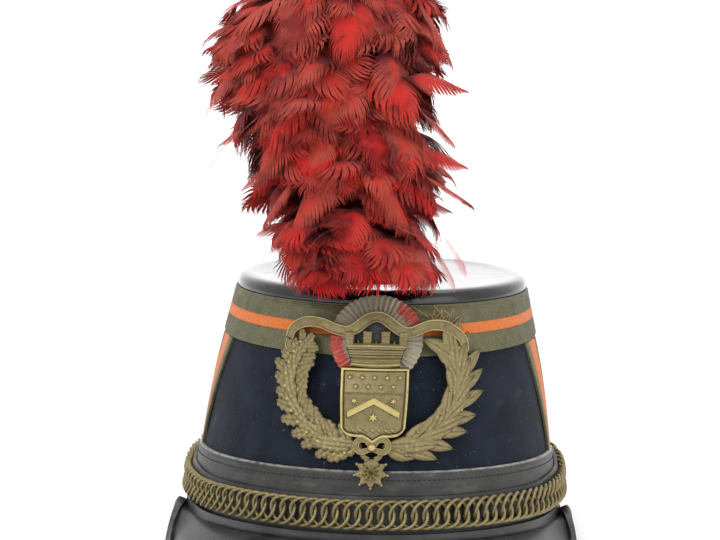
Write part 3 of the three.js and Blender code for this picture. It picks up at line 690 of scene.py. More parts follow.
def pleat_finish():
    """Cockade ribbon. The map holds the turn round the middle, from 0 to 1, and the radius in millimetres."""
    finish = Finish("cockade_ribbon", Sheen_Weight=0.2, Specular_IOR_Level=0.3)
    turn = finish.part(finish.map_place(), "X")
    radius = finish.part(finish.map_place(), "Y")

    def threads(turns, along):
        return finish.noise(finish.map_place(turns, along), 1.0, 2)

    worn = finish.maths("ADD", radius, finish.scaled(threads(140, 0.4), -1.1, 1.1))
    right = finish.maths("MULTIPLY", finish.between(turn, 0.07, 0.1), finish.between(turn, 0.23, 0.2))
    left = finish.maths("MULTIPLY", finish.between(turn, 0.57, 0.6), finish.between(turn, 0.82, 0.78))
    silver, red = colours().pleat_silver, colours().pleat_red
    silver = finish.blend(threads(150, 0.2), shaded(silver, 0.5), shaded(silver, 1.3))
    red = finish.blend(threads(150, 0.5), shaded(red, 0.5), shaded(red, 1.1))
    red = finish.laid(red, silver, threads(90, 0.3), 0.55, 0.7)
    outside = finish.blend(finish.maths("ADD", right, left), silver, red)
    base = finish.laid(silver, outside, worn, 13.2, 14.0)
    base = finish.laid(base, colours().pleat_dark, worn, 9.2, 8.4)
    weft = threads(60, 3.0)
    finish.raise_by(weft, 0.08, 0.5)
    return finish.paint(finish.blend(0.25, base, weft, "OVERLAY"), 0.62)


def feather_finish():
    """Dyed feathers. The deep red inside the plume is painted shade, and towards the outer ends of the barbs
    the colour fades, partly real fading and partly painted light where the barbs catch it.
    """
    finish = Finish("red_feather", Sheen_Weight=0.1, Sheen_Roughness=0.5, Specular_IOR_Level=0.1)
    bright, dusty, deep = colours().feather_bright, colours().feather_dusty, colours().feather_shade
    barbs = finish.noise(finish.map_place(1.6, 0.05), 1.0, 3, 0.7)
    # Fading towards the barbs' outer ends: partly real fading, partly painted light where the barbs catch it
    outer = finish.between(finish.stored("outer"), -0.5, 0.8)
    faded = finish.maths("MULTIPLY", finish.stored("tint"), outer)
    upper = finish.laid(bright, dusty, faded, 0.0, 0.6)
    # Painted shade: deep red at the feathers' roots, and more of it on the inner feathers
    base = finish.laid(deep, upper, finish.stored("depth"), 0.15, 0.8)
    # Painted shadow: large dark patches where the plume has gaps
    base = finish.laid(base, deep, finish.noise(finish.spot(), 0.06, 3, 0.6), 0.47, 0.68, 0.72)
    base = finish.laid(base, deep, barbs, 0.48, 0.28, 0.45)
    base = finish.laid(base, BARB_STREAK, barbs, 0.54, 0.8, 0.3)
    return finish.paint(base, 0.75)


def plain_finish(name, shade, roughness):
    finish = Finish(name, Specular_IOR_Level=0.3)
    twist = finish.noise(finish.spot(), 3.0, 3)
    finish.raise_by(twist, 0.05, 0.5)
    return finish.paint(finish.blend(twist, shaded(shade, 0.6), shaded(shade, 1.3)), roughness)


def make_cloth_body():
    """The cloth outside and the bare inside of the open body, with small dents in the cloth."""
    stock = Stock()
    angles = hoop_angles(240)[:, None]
    outside = np.linspace(GAP, CROWN_LEVEL, 74)
    inside = np.linspace(CROWN_LEVEL, GAP, 12)
    open_cloth = smooth(outside, 31, 38) * (1 - smooth(outside, 74, 82))
    dents = np.sin(3 * angles + 0.06 * outside) + np.sin(5 * angles - 0.09 * outside + 2)
    dents = (dents + np.sin(9 * angles + 0.2 * outside + 1) - 3) * 0.085 * open_cloth
    points = np.concatenate([wall(angles, outside, dents), wall(angles, inside, -WALL_THICK)], 1)
    stock.grid(points, ring=True, loop=True)
    dressed(stock.make("cloth_body", cloth_finish()), "cloth", "shell")


def make_crown_leather():
    """A sunk lid with a rolled rim that turns down to the lace. Rows are height over the edge, and off."""
    rim = [(0.3, 0.75), (1.0, 1.15), (2.0, 1.3), (3.0, 1.35), (4.0, 1.15), (4.8, 0.75), (5.4, 0.1)]
    top = [(5.8, -1.0), (6.0, -2.4), (5.9, -4.2), (5.5, -7), (5.2, -12), (5.0, -20), (4.9, -32), (4.9, -46)]
    under = [(3.2, -46), (3.2, -20), (3.2, -4.5), (GAP, -WALL_THICK)]
    rows = np.array(rim + top + under)
    angles = hoop_angles(220)[:, None]
    points = wall(angles, CROWN_LEVEL + rows[:, 0], rows[:, 1])
    points[..., 2] += 0.35 * np.sin(2 * angles + 1) * smooth(-rows[:, 1], 4, 20) * (rows[:, 0] > 4)
    stock = Stock()
    lid = len(rim) + len(top)
    for columns in (points[:, :lid], points[:, lid:], points[:, [-1, 0]]):
        stock.grid(columns, ring=True)
    for edge in (points[:, lid - 1], points[:, lid]):
        middle = np.broadcast_to(edge.mean(0), edge.shape)
        stock.grid(np.stack([edge, lerp(edge, middle, 0.6), middle]), loop=True)
    dressed(stock.make("crown_leather", patent_finish(), crease=60), "patent_leather", "crown_top")


def ribbed_face(across, thick, seat, ribs):
    """How far a strip's face stands off from edge to edge: its edges are thinner, and its ribs lie on it."""
    return seat + thick * lerp(0.72, 1, smooth(np.minimum(across, 1 - across), 0, STRIP_EDGE)) + ribs


def rib_heights(count):
    """The heights of every second rib and of the furrows between them."""
    return sizes().rib_depth / MM * np.where(np.arange(count) % 2 == 0, 0.5, -0.5)[:, None]


def lace_hoop(name, bottom, top, finish, selvage=0.0):
    """A ribbed hoop of lace. selvage is the width at its top that has cords along it."""
    girth = math.pi * (half_width(95) + BASE_HALF_DEPTH - DEPTH_INSET_RATIO * inset(95))
    count = 2 * int(girth / (sizes().rib_pitch / MM))
    angles = hoop_angles(count)[:, None]
    width = top - bottom
    across = np.linspace(0, 1, max(8, int(width / (SELVAGE_CORD / 2 if selvage else FACE_STEP))) + 1)
    level = lerp(bottom, top, across)
    rib = rib_heights(count)
    if selvage:
        near_top = smooth(level, top - selvage - 0.4, top - selvage)
        rib = rib * (1 - 0.8 * near_top) + 0.16 * near_top * np.cos(math.tau * (top - level) / SELVAGE_CORD)
    face = wall(angles, level, ribbed_face(across, LACE_THICK, GAP, rib))
    points = np.concatenate([face, wall(angles, np.array([top, bottom]), GAP)], 1)
    place = np.empty((count + 1, points.shape[1] + 1, 2))
    place[..., 0] = np.linspace(0, girth, count + 1)[:, None]
    place[..., 1] = np.concatenate([level - bottom, [width, 0, 0]])
    stock = Stock()
    stock.grid(points, place, ring=True, loop=True)
    return stock.make(name, finish, weld=0)


def make_galloon():
    lace = lace_finish()
    stripe_low, stripe_high = GALLOON_BOTTOM + LACE_BORDER, CROWN_LEVEL - LACE_BORDER
    upper = lace_hoop("galloon_upper", stripe_high, CROWN_LEVEL, lace, selvage=SELVAGE)
    lower = lace_hoop("galloon_lower", GALLOON_BOTTOM, stripe_low, lace)
    stripe = lace_hoop("galloon_stripe", stripe_low + STRIP_GAP, stripe_high - STRIP_GAP, orange_finish())
    dressed(upper, "metal_lace", "lace_upper")
    dressed(lower, "metal_lace", "lace_lower")
    dressed(stripe, "orange_stripe", "lace_stripe")


def chevron_strip(stock, side, turn, start, end, least=-99.0):
    """A strip on the hat's side between two slanting lines, start and end inside the outer edge."""
    rise = 2 * int((GALLOON_BOTTOM - BAND_HEIGHT) / (sizes().rib_pitch / MM))
    share = np.linspace(0, 1, rise + 1)[:, None]
    level = lerp(BAND_HEIGHT + GAP, GALLOON_BOTTOM - GAP, share)
    across = np.linspace(0, 1, 13)
    edge = lerp(CHEVRON_BOTTOM_REACH, CHEVRON_TOP_REACH, share)
    reach = np.maximum(least, edge - lerp(start, end, across)) * turn
    angle = side * (math.pi / 2 - reach / (BASE_HALF_DEPTH - DEPTH_INSET_RATIO * inset(level)))
    face = wall(angle, level, ribbed_face(across, CHEVRON_THICK, CHEVRON_SEAT, rib_heights(rise + 1)))
    points = np.concatenate([face, wall(angle[:, [-1, 0]], level, CHEVRON_SEAT - 0.35)], 1)
    place = np.empty((rise + 1, points.shape[1] + 1, 2))
    place[..., 0] = (level - BAND_HEIGHT) * 1.08
    place[..., 1] = np.concatenate([across, [1, 0, 0]]) * (end - start)
    stock.lofted(points, place)


def make_chevrons():
    finishes = {"lace": lace_finish(), "orange": orange_finish()}
    slots = {"lace": "metal_lace", "orange": "orange_stripe"}
    stripe_end = CHEVRON_BORDER + CHEVRON_STRIPE
    strips = (
        ("lace", "border", 0, CHEVRON_BORDER),
        ("orange", "stripe", CHEVRON_BORDER + STRIP_GAP, stripe_end),
    )
    for side, name in ((-1, "left"), (1, "right")):
        for turn, arm in ((1, "front"), (-1, "rear")):
            for look, node, start, end in strips:
                stock = Stock()
                chevron_strip(stock, side, turn, start, end)
                piece = stock.make(f"chevron_{name}_{arm}_{look}", finishes[look])
                dressed(piece, slots[look], f"chevron_{name}_{arm}_{node}")
        inner = Stock()
        for turn in (1, -1):
            chevron_strip(inner, side, turn, stripe_end + STRIP_GAP, stripe_end + CHEVRON_BORDER, least=0.0)
        piece = inner.make(f"chevron_{name}_inner_lace", finishes["lace"])
        dressed(piece, "metal_lace", f"chevron_{name}_inner_border")


def repeat_tree(name, inputs, shape):
    """Geometry nodes that set one shape on every point, turned by the point's along and outwards."""
    tree = bpy.data.node_groups.new(name, "GeometryNodeTree")
    sockets = [("Geometry", "INPUT", "Geometry"), *((label, "INPUT", "Float") for label in inputs)]
    sockets += [("Material", "INPUT", "Material"), ("Geometry", "OUTPUT", "Geometry")]
    for label, way, kind in sockets:
        tree.interface.new_socket(label, in_out=way, socket_type="NodeSocket" + kind)
    group = tree.nodes.new("NodeGroupInput")

    def node(kind, links, output=0, **settings):
        made = tree.nodes.new(kind)
        for key, value in settings.items():
            setattr(made, key, value)
        for socket, value in links.items():
            if isinstance(value, bpy.types.NodeSocket):
                tree.links.new(value, made.inputs[socket])
            else:
                made.inputs[socket].default_value = value
        return made.outputs[output]

    axes = {}
    for label, attribute in (("Primary Axis", "outwards"), ("Secondary Axis", "along")):
        axes[label] = node("GeometryNodeInputNamedAttribute", {"Name": attribute}, data_type="FLOAT_VECTOR")
    turned = node("FunctionNodeAxesToRotation", axes, primary_axis="Z", secondary_axis="X")
    links = {"Points": group.outputs["Geometry"], "Instance": shape(node, group), "Rotation": turned}
    placed = node("GeometryNodeInstanceOnPoints", links)
    real = node("GeometryNodeRealizeInstances", {"Geometry": placed})
    done = node("GeometryNodeSetMaterial", {"Geometry": real, "Material": group.outputs["Material"]})
    tree.links.new(done, tree.nodes.new("NodeGroupOutput").inputs["Geometry"])
    return tree


def repeated(name, tree, values, finish, points, along, outwards):
    """Runs a repeat tree over points of the hat's own frame and keeps the result as a plain mesh."""
    mesh = bpy.data.meshes.new(name)
    placed = to_row(points)
    mesh.from_pydata(placed.tolist(), [], [])
    for label, vectors in (("along", along), ("outwards", outwards)):
        layer = mesh.attributes.new(label, "FLOAT_VECTOR", "POINT")
        turned = unit(to_row(points + vectors) - placed)
        layer.data.foreach_set("vector", turned.astype(np.float32).ravel())
    piece = placed_object(name, mesh)
    modifier = piece.modifiers.new(name, "NODES")
    modifier.node_group = tree
    values = {**values, "Material": finish}
    for item in tree.interface.items_tree:
        if item.in_out == "INPUT" and item.name in values:
            modifier[item.identifier] = values[item.name]
    seen = piece.evaluated_get(bpy.context.evaluated_depsgraph_get())
    real = bpy.data.meshes.new_from_object(seen)
    piece.modifiers.clear()
    piece.data = real
    face_outwards(real)
    piece.data.shade_smooth()
    return piece


def stitch_shape(node, group):
    ball = node("GeometryNodeMeshUVSphere", {"Segments": 8, "Rings": 5, "Radius": 1.0})
    halves = {axis: group.outputs["Half " + size] for axis, size in zip("XYZ", ("Length", "Width", "Height"))}
    return node("GeometryNodeTransform", {"Geometry": ball, "Scale": node("ShaderNodeCombineXYZ", halves)})


def ring_shape(node, group):
    """A round wire ring twisted like a saddle, so that it passes over and under its neighbours."""
    middle = {"Resolution": 28, "Radius": group.outputs["Ring Radius"]}
    circle = node("GeometryNodeCurvePrimitiveCircle", middle)
    turn = node("GeometryNodeSplineParameter", {})
    twice = node("ShaderNodeMath", {0: turn, 1: 4 * math.pi}, operation="MULTIPLY")
    wave = node("ShaderNodeMath", {0: twice}, operation="SINE")
    lift = node("ShaderNodeMath", {0: wave, 1: group.outputs["Twist"]}, operation="MULTIPLY")
    offset = node("ShaderNodeCombineXYZ", {"Z": lift})
    bent = node("GeometryNodeSetPosition", {"Geometry": circle, "Offset": offset})
    wire = node("GeometryNodeCurvePrimitiveCircle", {"Resolution": 8, "Radius": group.outputs["Wire Radius"]})
    return node("GeometryNodeCurveToMesh", {"Curve": bent, "Profile Curve": wire})


def stitches(name, finish, path, outwards):
    """Stitches at an even pitch along a path of points."""
    run = np.concatenate([[0], np.cumsum(np.linalg.norm(np.diff(path, axis=0), axis=1))])
    pitch = sizes().stitch_pitch / MM
    spots = np.arange(pitch / 2, run[-1], pitch)

    def at(places, values):
        return np.stack([np.interp(places, run, values[:, axis]) for axis in range(3)], -1)

    tree = repeat_tree("stitch_row", ("Half Length", "Half Width", "Half Height"), stitch_shape)
    values = {"Half Length": sizes().stitch_length / 2, "Half Width": STITCH_WIDTH / 2 * MM}
    values["Half Height"] = STITCH_HEIGHT / 2 * MM
    along = at(spots + 0.5, path) - at(spots - 0.5, path)
    return repeated(name, tree, values, finish, at(spots, path), along, at(spots, outwards))


def make_leather_band():
    """A band with rolled edges, a sunk seam and its stitches, flat where it stands on the floor."""
    out = GAP + BAND_THICK
    angles = hoop_angles(260)[:, None]
    upper = BAND_HEIGHT - np.array([1.3, 0.6, 0.15, 0, 0])
    level = np.concatenate([[0, 0, 0.5], np.linspace(1.4, BAND_HEIGHT - 2.2, 18), upper])
    off = np.concatenate([[GAP, out - 0.5], np.full(19, out), out - np.array([0.05, 0.25, 0.7, 1.2]), [GAP]])
    waves = 0.06 * np.sin(7 * angles) * np.sin(0.3 * level) + 0.05 * np.sin(19 * angles + 0.4 * level)
    depth = np.where(off > out - 0.3, waves - 0.06 - 0.22 * bell(level - BAND_SEAM, 0.35), 0)
    points = pressed(wall(angles, level, off + depth))
    place = np.empty((len(angles) + 1, len(level) + 1, 2))
    place[..., 0] = np.linspace(0, BAND_GIRTH, len(angles) + 1)[:, None]
    place[..., 1] = np.append(level, 0)
    stock = Stock()
    stock.grid(points, place, ring=True, loop=True)
    hide = leather_finish("worn_leather", colours().leather, 0.5, BAND_HEIGHT)
    dressed(stock.make("leather_band_hide", hide), "worn_leather", "leather_band")
    turn = np.linspace(-math.pi, math.pi, 400)
    path = wall(turn, BAND_SEAM, out - 0.12)
    outwards = unit(wall(turn, BAND_SEAM, out + 0.88) - path)
    thread = plain_finish("dark_thread", BAND_THREAD, 0.8)
    dressed(stitches("band_stitches", thread, path, outwards), "worn_leather")


def visor_shares(count):
    """Shares along the visor's edge, closer together towards its ends."""
    return VISOR_TIP * np.sin(np.linspace(-1, 1, count) * math.pi / 2)


def make_visor():
    """The visor's hide with a groove by its edge, and two rows of stitches."""
    across = np.concatenate([np.linspace(0, FLANGE_SHARE, 4)[:-1], np.linspace(FLANGE_SHARE, 1, 22)])
    share = visor_shares(121)[:, None]
    half = VISOR_THICK / 2
    middle, normal = visor_point(share, across), visor_normal(share, across)
    groove = 0.28 * bell(across - 0.86, 0.012)
    ripple = 0.12 * np.sin(9 * share + 5 * across) * smooth(across, 0.25, 0.5)
    top = middle + normal * (half - groove + ripple)[..., None]
    stock = Stock()
    stock.lofted(np.concatenate([top, (middle - normal * half)[:, ::-1]], 1))
    hide = leather_finish("visor_leather", colours().visor, 0.35, gloss=0.3)
    dressed(stock.make("visor_hide", hide), "visor_leather", "visor")
    thread = plain_finish("visor_thread", VISOR_THREAD, 0.8)
    line = visor_shares(300)
    for name, place in (("visor_seam_stitches", 0.27), ("visor_edge_stitches", 0.835)):
        out = visor_normal(line, place)
        path = visor_point(line, place) + out * (half + 0.02)
        dressed(stitches(name, thread, path, out), "visor_leather")


def make_visor_binding():
    """A folded strip round the visor's edge. Its section gives the way out and the height over the hide."""
    share = visor_shares(161)
    inner = VISOR_THICK / 2 + 0.05
    outer = VISOR_THICK / 2 + BINDING_CLEAR + BINDING_THICK
    edge, within = visor_point(share, 1), visor_point(share, 0.9)
    out = unit(edge - within)
    per_mm = 0.1 / np.linalg.norm(edge - within, axis=1)
    reach = np.linalg.norm(edge - visor_point(share, FLANGE_SHARE), axis=1)
    width = np.minimum(BINDING_WIDTH, reach * 0.42)
    top = [(-1, inner), (-1, outer - 0.25), (-0.92, outer), (-0.5, outer), (-0.1, outer)]
    bottom = [(-0.1, -outer), (-0.5, -outer), (-1, -outer), (-1, -inner)]
    section = [(o * width, n) for o, n in top]
    for angle in np.linspace(math.pi / 2, -math.pi / 2, 9):
        section.append((BINDING_CLEAR + BINDING_THICK * math.cos(angle) - 0.05, outer * math.sin(angle)))
    section += [(o * width, n) for o, n in bottom]
    section += [(BINDING_CLEAR, -inner), (BINDING_CLEAR, inner)]
    rows = []
    for o, n in section:
        o = np.broadcast_to(o, share.shape)
        across = np.minimum(1, 1 + o * per_mm)
        seat = visor_point(share, across) + out * np.maximum(0, o)[:, None]
        rows.append(seat + visor_normal(share, across) * n)
    stock = Stock()
    stock.lofted(pressed(np.stack(rows, 1)))
    hide = leather_finish("binding_leather", shaded(colours().visor, 0.8), 0.5, gloss=0.2)
    dressed(stock.make("visor_binding_hide", hide), "visor_leather", "visor_binding")


def make_chin_strap():
    rise = STRAP_WIDTH / 2 * np.array([-1, -1, -0.985, -0.95, -0.6, -0.2, 0.2, 0.6, 0.95, 0.985, 1, 1])
    off = STRAP_THICK * np.array([0, 0.6, 0.9, 1, 1, 1, 1, 1, 1, 0.9, 0.6, 0])
    stock = Stock()
    stock.lofted(on_band(np.linspace(-STRAP_END, STRAP_END, 240)[:, None], rise, off))
    hide = leather_finish("strap_leather", shaded(colours().leather, 0.7))
    dressed(stock.make("chin_strap_hide", hide), "worn_leather", "chin_strap")


def make_chin_chain():
    angles = np.linspace(-CHAIN_END, CHAIN_END, CHAIN_LINKS + 1)
    middle = (angles[:-1] + angles[1:]) / 2
    along = on_band(middle + 0.01, 0, CHAIN_OFF) - on_band(middle - 0.01, 0, CHAIN_OFF)
    up = on_band(middle, 3, CHAIN_OFF) - on_band(middle, -3, CHAIN_OFF)
    tree = repeat_tree("chain_rings", ("Ring Radius", "Wire Radius", "Twist"), ring_shape)
    values = {"Ring Radius": sizes().ring_radius, "Wire Radius": sizes().ring_wire / 2}
    values["Twist"] = -sizes().ring_saddle
    brass = brass_finish("chain_brass", mapped=False)
    outwards = unit(np.cross(along, up))
    chain = repeated("chain_rings", tree, values, brass, on_band(middle, 0, CHAIN_OFF), along, outwards)
    dressed(chain, "old_brass", "chin_chain")


def make_studs():
    """Domed studs on a short neck. The profile is drawn as height over the strap, and share of the radius."""
    neck = [(0.0, 0), (0.0, 1), (0.25, 1.02), (0.6, 1.0), (0.9, 0.93), (1.15, 0.84), (STUD_SHOULDER, 0.78)]
    dome = np.linspace(0, math.pi / 2, 9)
    dome = np.stack([lerp(STUD_SHOULDER, STUD_RISE, np.sin(dome)), 0.76 * np.cos(dome)], -1)
    profile = np.concatenate([neck, dome])[:, None]
    turn = hoop_angles(48)[:, None]
    brass = brass_finish("stud_brass", mapped=False)
    for side, name in ((-1, "left"), (1, "right")):
        angle = side * STUD_ANGLE
        along = unit(on_band(angle + 0.04, 0, 0) - on_band(angle - 0.04, 0, 0))
        up = on_band(angle, STUD_RADIUS * 0.7, 0) - on_band(angle, -STUD_RADIUS, 0)
        out = unit(np.cross(along, up))
        ring = along * np.cos(turn) + np.cross(out, along) * np.sin(turn)
        seat = on_band(angle, 0, STRAP_THICK + GAP + 0.25)
        stock = Stock()
        stock.grid(seat + out * profile[..., :1] + ring * (profile[..., 1:] * STUD_RADIUS), loop=True)
        dressed(stock.make(f"stud_{name}_brass", brass), "old_brass", f"strap_stud_{name}")


def make_cockade():
    """A disc of folded ribbon round a button, with a flat back."""
    turn = hoop_angles(PLEATS * PLEAT_STEPS)[:, None]
    radius = np.array([0.01, 2.0, 3.6, 4.6, 5.2, 7, 9, 11, 13, 15, 16.8, 18, COCKADE_RADIUS])
    fold = np.abs(((turn * PLEATS / math.tau) % 1) * 2 - 1)
    depth = sizes().pleat_depth / MM * smooth(radius, 3, 14)
    crest = 2.5 - 0.6 * smooth(radius, 13, COCKADE_RADIUS)
    button = 0.9 * np.exp(-((radius / 3.4) ** 4))
    wave = 0.18 * np.sin(5 * turn + 1) * smooth(radius, 8, COCKADE_RADIUS)
    edge = radius + 0.35 * smooth(radius, 15, COCKADE_RADIUS) * np.cos(turn * PLEATS)

    def at(r, off):
        return on_front(r * np.sin(turn), COCKADE_HEIGHT + r * np.cos(turn), COCKADE_BACK + off)

    back = at(np.array([COCKADE_RADIUS, COCKADE_HOLLOW, 0.01]), 0.0)
    points = np.concatenate([at(edge, crest + button + wave - depth * fold), back], 1)
    place = np.empty((len(turn) + 1, points.shape[1], 2))
    place[..., 0] = np.linspace(0, 1, len(turn) + 1)[:, None]
    place[..., 1] = np.concatenate([radius, [COCKADE_RADIUS, COCKADE_HOLLOW, 0]])
    stock = Stock()
    stock.grid(points, place, ring=True)
    dressed(stock.make("cockade_pleats", pleat_finish(), crease=70), "cockade_pleats", "cockade")


def raised_sheet(stock, x, z, rise, low, marks):
    """Adds a stamped sheet to the plate: its face by rise, its back at low, and how rubbed the face is, which
    also paints its highlight and the shade in its hollows.
    """
    face = on_plate(x, z, rise)
    back = on_plate(x[:, [-1, 0]], z[:, [-1, 0]], low)
    place = np.zeros((len(x), x.shape[1] + 3, 2))
    place[:, :-3, 1] = marks
    place[:, -1] = place[:, 0]
    stock.lofted(np.concatenate([face, back], 1), place)


def leaf(stock, x, z, angle, size, half, low, rise, lobes=0, bend=0.0):
    """One stamped leaf from its foot at x, z: convex halves, a sunk midrib and slanting veins."""
    s = np.linspace(0, 1, 25 if lobes else 17)[:, None]
    t = np.linspace(-1, 1, 11)
    if lobes:
        width = half * np.sin(math.pi * np.clip(s, 0.02, 0.985) ** 0.85) ** 0.55
        width = width * (0.87 + 0.13 * np.cos(math.tau * (lobes * s - 0.5)))
    else:
        width = half * np.sin(math.pi * np.clip(s, 0.01, 0.995) ** 0.8) ** 0.85
    slant = 0.35 * np.abs(t) * width
    u = size * s + slant
    v = width * t + bend * size * s * s
    swell = (1 - np.abs(t) ** 2.4) * np.sin(math.pi * np.clip(s, 0.06, 0.94)) ** 0.4
    midrib = bell(t * width, 0.42)
    vein = 0.5 + 0.5 * np.cos(math.tau * ((lobes or 6) * (s - slant / size) - 0.5))
    height = low + 0.35 + 0.3 * s + rise * swell * (0.86 + 0.14 * vein) - 0.5 * rise * midrib * swell
    cos, sin = math.cos(angle), math.sin(angle)
    # Light on the leaf's swell, dark at its edges and midrib: rubbing and tarnish, with painted highlight and
    # painted shade
    marks = 0.12 + 0.62 * swell + 0.14 * vein - 0.45 * midrib
    raised_sheet(stock, x + u * cos - v * sin, z + u * sin + v * cos, height, low, marks)


def boss(stock, x, z, radius, low, high, mark=1.0):
    """A round raised bead on the plate."""
    turn = hoop_angles(14)
    rise = np.linspace(0, math.pi / 2, 6)[:, None]
    spread = radius * np.cos(rise)
    points = on_plate(x + spread * np.cos(turn), z + spread * np.sin(turn), low + (high - low) * np.sin(rise))
    foot = on_plate(x + radius * np.cos(turn), z + radius * np.sin(turn), low - 0.4)[None]
    place = np.zeros((7, 15, 2))
    place[..., 1] = np.concatenate([[0.2], 0.35 + 0.65 * mark * np.sin(rise[:, 0])])[:, None]
    stock.grid(np.concatenate([foot, points]), place, loop=True)


def boss_away(stock, x, z, angle, reach, *shape):
    """A bead at a distance from x, z, on a line at an angle."""
    boss(stock, x + reach * math.cos(angle), z + reach * math.sin(angle), *shape)


def band_on_plate(stock, path, half, low, rows, ends=(1.0, 1.0)):
    """A strip along a path on the plate. rows gives its section as share of half, height and rubbed share,
    which also paints its highlight and shade.
    """
    path = np.asarray(path, float)
    along = unit(np.gradient(path, axis=0))
    half = half * np.interp(np.linspace(0, 1, len(path)), (0, 0.12, 0.88, 1), (ends[0], 1, 1, ends[1]))
    share, height, rubbed = np.array(rows).T
    x = path[:, :1] - along[:, 1:] * share * half[:, None]
    z = path[:, 1:] + along[:, :1] * share * half[:, None]
    place = np.zeros((len(path), len(share) + 1, 2))
    place[..., 1] = np.append(rubbed, rubbed[0])
    stock.lofted(on_plate(x, z, low + height), place)


def spline(points, count):
    """A smooth path of count points through the given ones."""
    points = np.asarray(points, float)
    padded = np.concatenate([[2 * points[0] - points[1]], points, [2 * points[-1] - points[-2]]])
    where = np.linspace(0, len(points) - 1 - 1e-6, count)
    n = where.astype(int)
    t = (where - n)[:, None]
    a, b, c, d = (padded[n + i] for i in range(4))
    return b + 0.5 * t * (c - a + t * (2 * a - 5 * b + 4 * c - d + t * (3 * (b - c) + d - a)))


# Sections of a stem and of the ribbon: share of the half width, height, and how rubbed it is, with its
# painted highlight and shade
STEM = ((-1, 0.0, 0.1), (-0.8, 0.7, 0.5), (0, 1.1, 0.8), (0.8, 0.7, 0.5), (1, 0.0, 0.1))
RIBBON_ROWS = (
    (-1, 0.0, 0.1), (-1, 1.1, 0.6), (-0.93, 1.35, 1.0), (-0.8, 1.3, 0.9), (-0.7, 0.95, 0.4),
    (-0.3, 1.0, 0.5), (0.3, 1.0, 0.5), (0.7, 0.95, 0.4), (0.8, 1.3, 0.9), (0.93, 1.35, 1.0),
    (1, 1.1, 0.6), (1, 0.0, 0.1),
)


# Paths on the plate: sideways from its middle, and height above the base plane
RIBBON_PATH = (
    (-37.3, 83.2), (-35.6, 87.3), (-31.4, 90.0), (-26.2, 91.3), (-21.2, 91.1), (-16.4, 89.3),
    (-11.5, 88.3), (-7.7, 90.0), (-4.7, 92.8), (-2.1, 94.4), (0.2, 94.8), (2.9, 93.9), (6.0, 91.3),
    (9.8, 88.6), (13.0, 88.3), (16.5, 89.7), (20.4, 91.1), (25.2, 90.8), (30.2, 88.8), (34.9, 85.4),
    (37.3, 82.0),
)
TAIL_PATH = ((37.4, 82.4), (37.9, 79.6), (35.4, 78.2), (31.4, 79.0), (27.4, 81.6), (23.6, 82.2))
BOW_PATH = ((0.3, 39.6), (2.4, 42.6), (5.4, 42.4), (6.4, 39.8), (4.6, 37.6), (0.6, 38.6))
LINK_PATH = ((0.8, 38.2), (3.1, 37.4), (3.3, 35.6), (1.2, 34.4))
# A cluster of leaves of each branch: every leaf's spread, length, half width and seat
OAK = ((0.85, 11.0, 3.2, 0.1), (-0.85, 11.0, 3.2, 0.2), (0.02, 11.5, 3.2, 0.9))
LAUREL = ((-0.5, 16.5, 3.0, 0.1), (0.48, 16.0, 3.0, 0.2), (-0.04, 17.0, 2.9, 0.9))
# The leaves at the foot of both branches: place, angle, length, half width and seat
FOOT_LEAVES = (
    (4, 40.2, -0.42, 15, 3.4, 0.1), (6, 40.4, 0.06, 17, 3.4, 0.7), (16, 38.8, 0.5, 15, 3.4, 0.5),
    (11, 38.6, 0.12, 15, 2.9, 1.0),
)


def wreath_place(side, degrees):
    """A place on a branch, and the way that the branch grows there, as an angle."""
    turn = math.radians(degrees)
    x, z = side * WREATH_HALF_WIDTH * math.cos(turn), WREATH_MIDDLE + WREATH_HALF_HEIGHT * math.sin(turn)
    return x, z, math.atan2(WREATH_HALF_HEIGHT * math.cos(turn), -side * WREATH_HALF_WIDTH * math.sin(turn))


def make_plate_wreath():
    """An oak branch on the plate's left and a laurel branch on its right, with beads between the leaves."""
    rng = np.random.default_rng(11)
    stock = Stock()
    for side in (-1, 1):
        stem = [wreath_place(side, degrees)[:2] for degrees in np.linspace(-78, 44, 60)]
        band_on_plate(stock, stem, 1.3, 0.0, STEM, (1.2, 0.4))
    for n in range(12):
        x, z, along = wreath_place(-1, lerp(-76, 30, n / 11))
        grown = 1 - 0.2 * smooth(n, 8, 11)
        for spread, reach, half, low in OAK:
            turn = along + spread + rng.uniform(-0.12, 0.12)
            size = reach * rng.uniform(0.93, 1.07) * grown
            low += rng.uniform(0, 0.25)
            leaf(stock, x, z, turn, size, half * grown, low, 1.15, 4, rng.uniform(-0.06, 0.06))
        boss_away(stock, x, z, along + 0.9, 3, 1.0, 1.2, 3.1)
    for n in range(9):
        x, z, along = wreath_place(1, lerp(-72, 24, n / 8))
        for spread, reach, half, low in LAUREL:
            turn = along + spread + rng.uniform(-0.08, 0.08)
            size = reach * rng.uniform(0.94, 1.05)
            leaf(stock, x, z, turn, size, half, low + rng.uniform(0, 0.2), 1.1, 0, 0.10 * np.sign(spread))
        boss_away(stock, x, z, along + (1.05 if n % 2 else -1.05), 4.3, 1.0, 0.9, 2.6, 0.7)
    for side, lobes in ((-1, 5), (1, 0)):
        for x, z, turn, size, half, low in FOOT_LEAVES:
            angle = turn if side > 0 else math.pi - turn
            leaf(stock, side * x, z, angle, size, half, low, 1.2, lobes, 0.04 * side)
    dressed(stock.make("plate_wreath", brass_finish("wreath_brass"), crease=55), "old_brass", "cap_plate")


def mirrored(path, side):
    """A path for one side of the plate, from the path of its right side."""
    return [(side * x, z) for x, z in path]


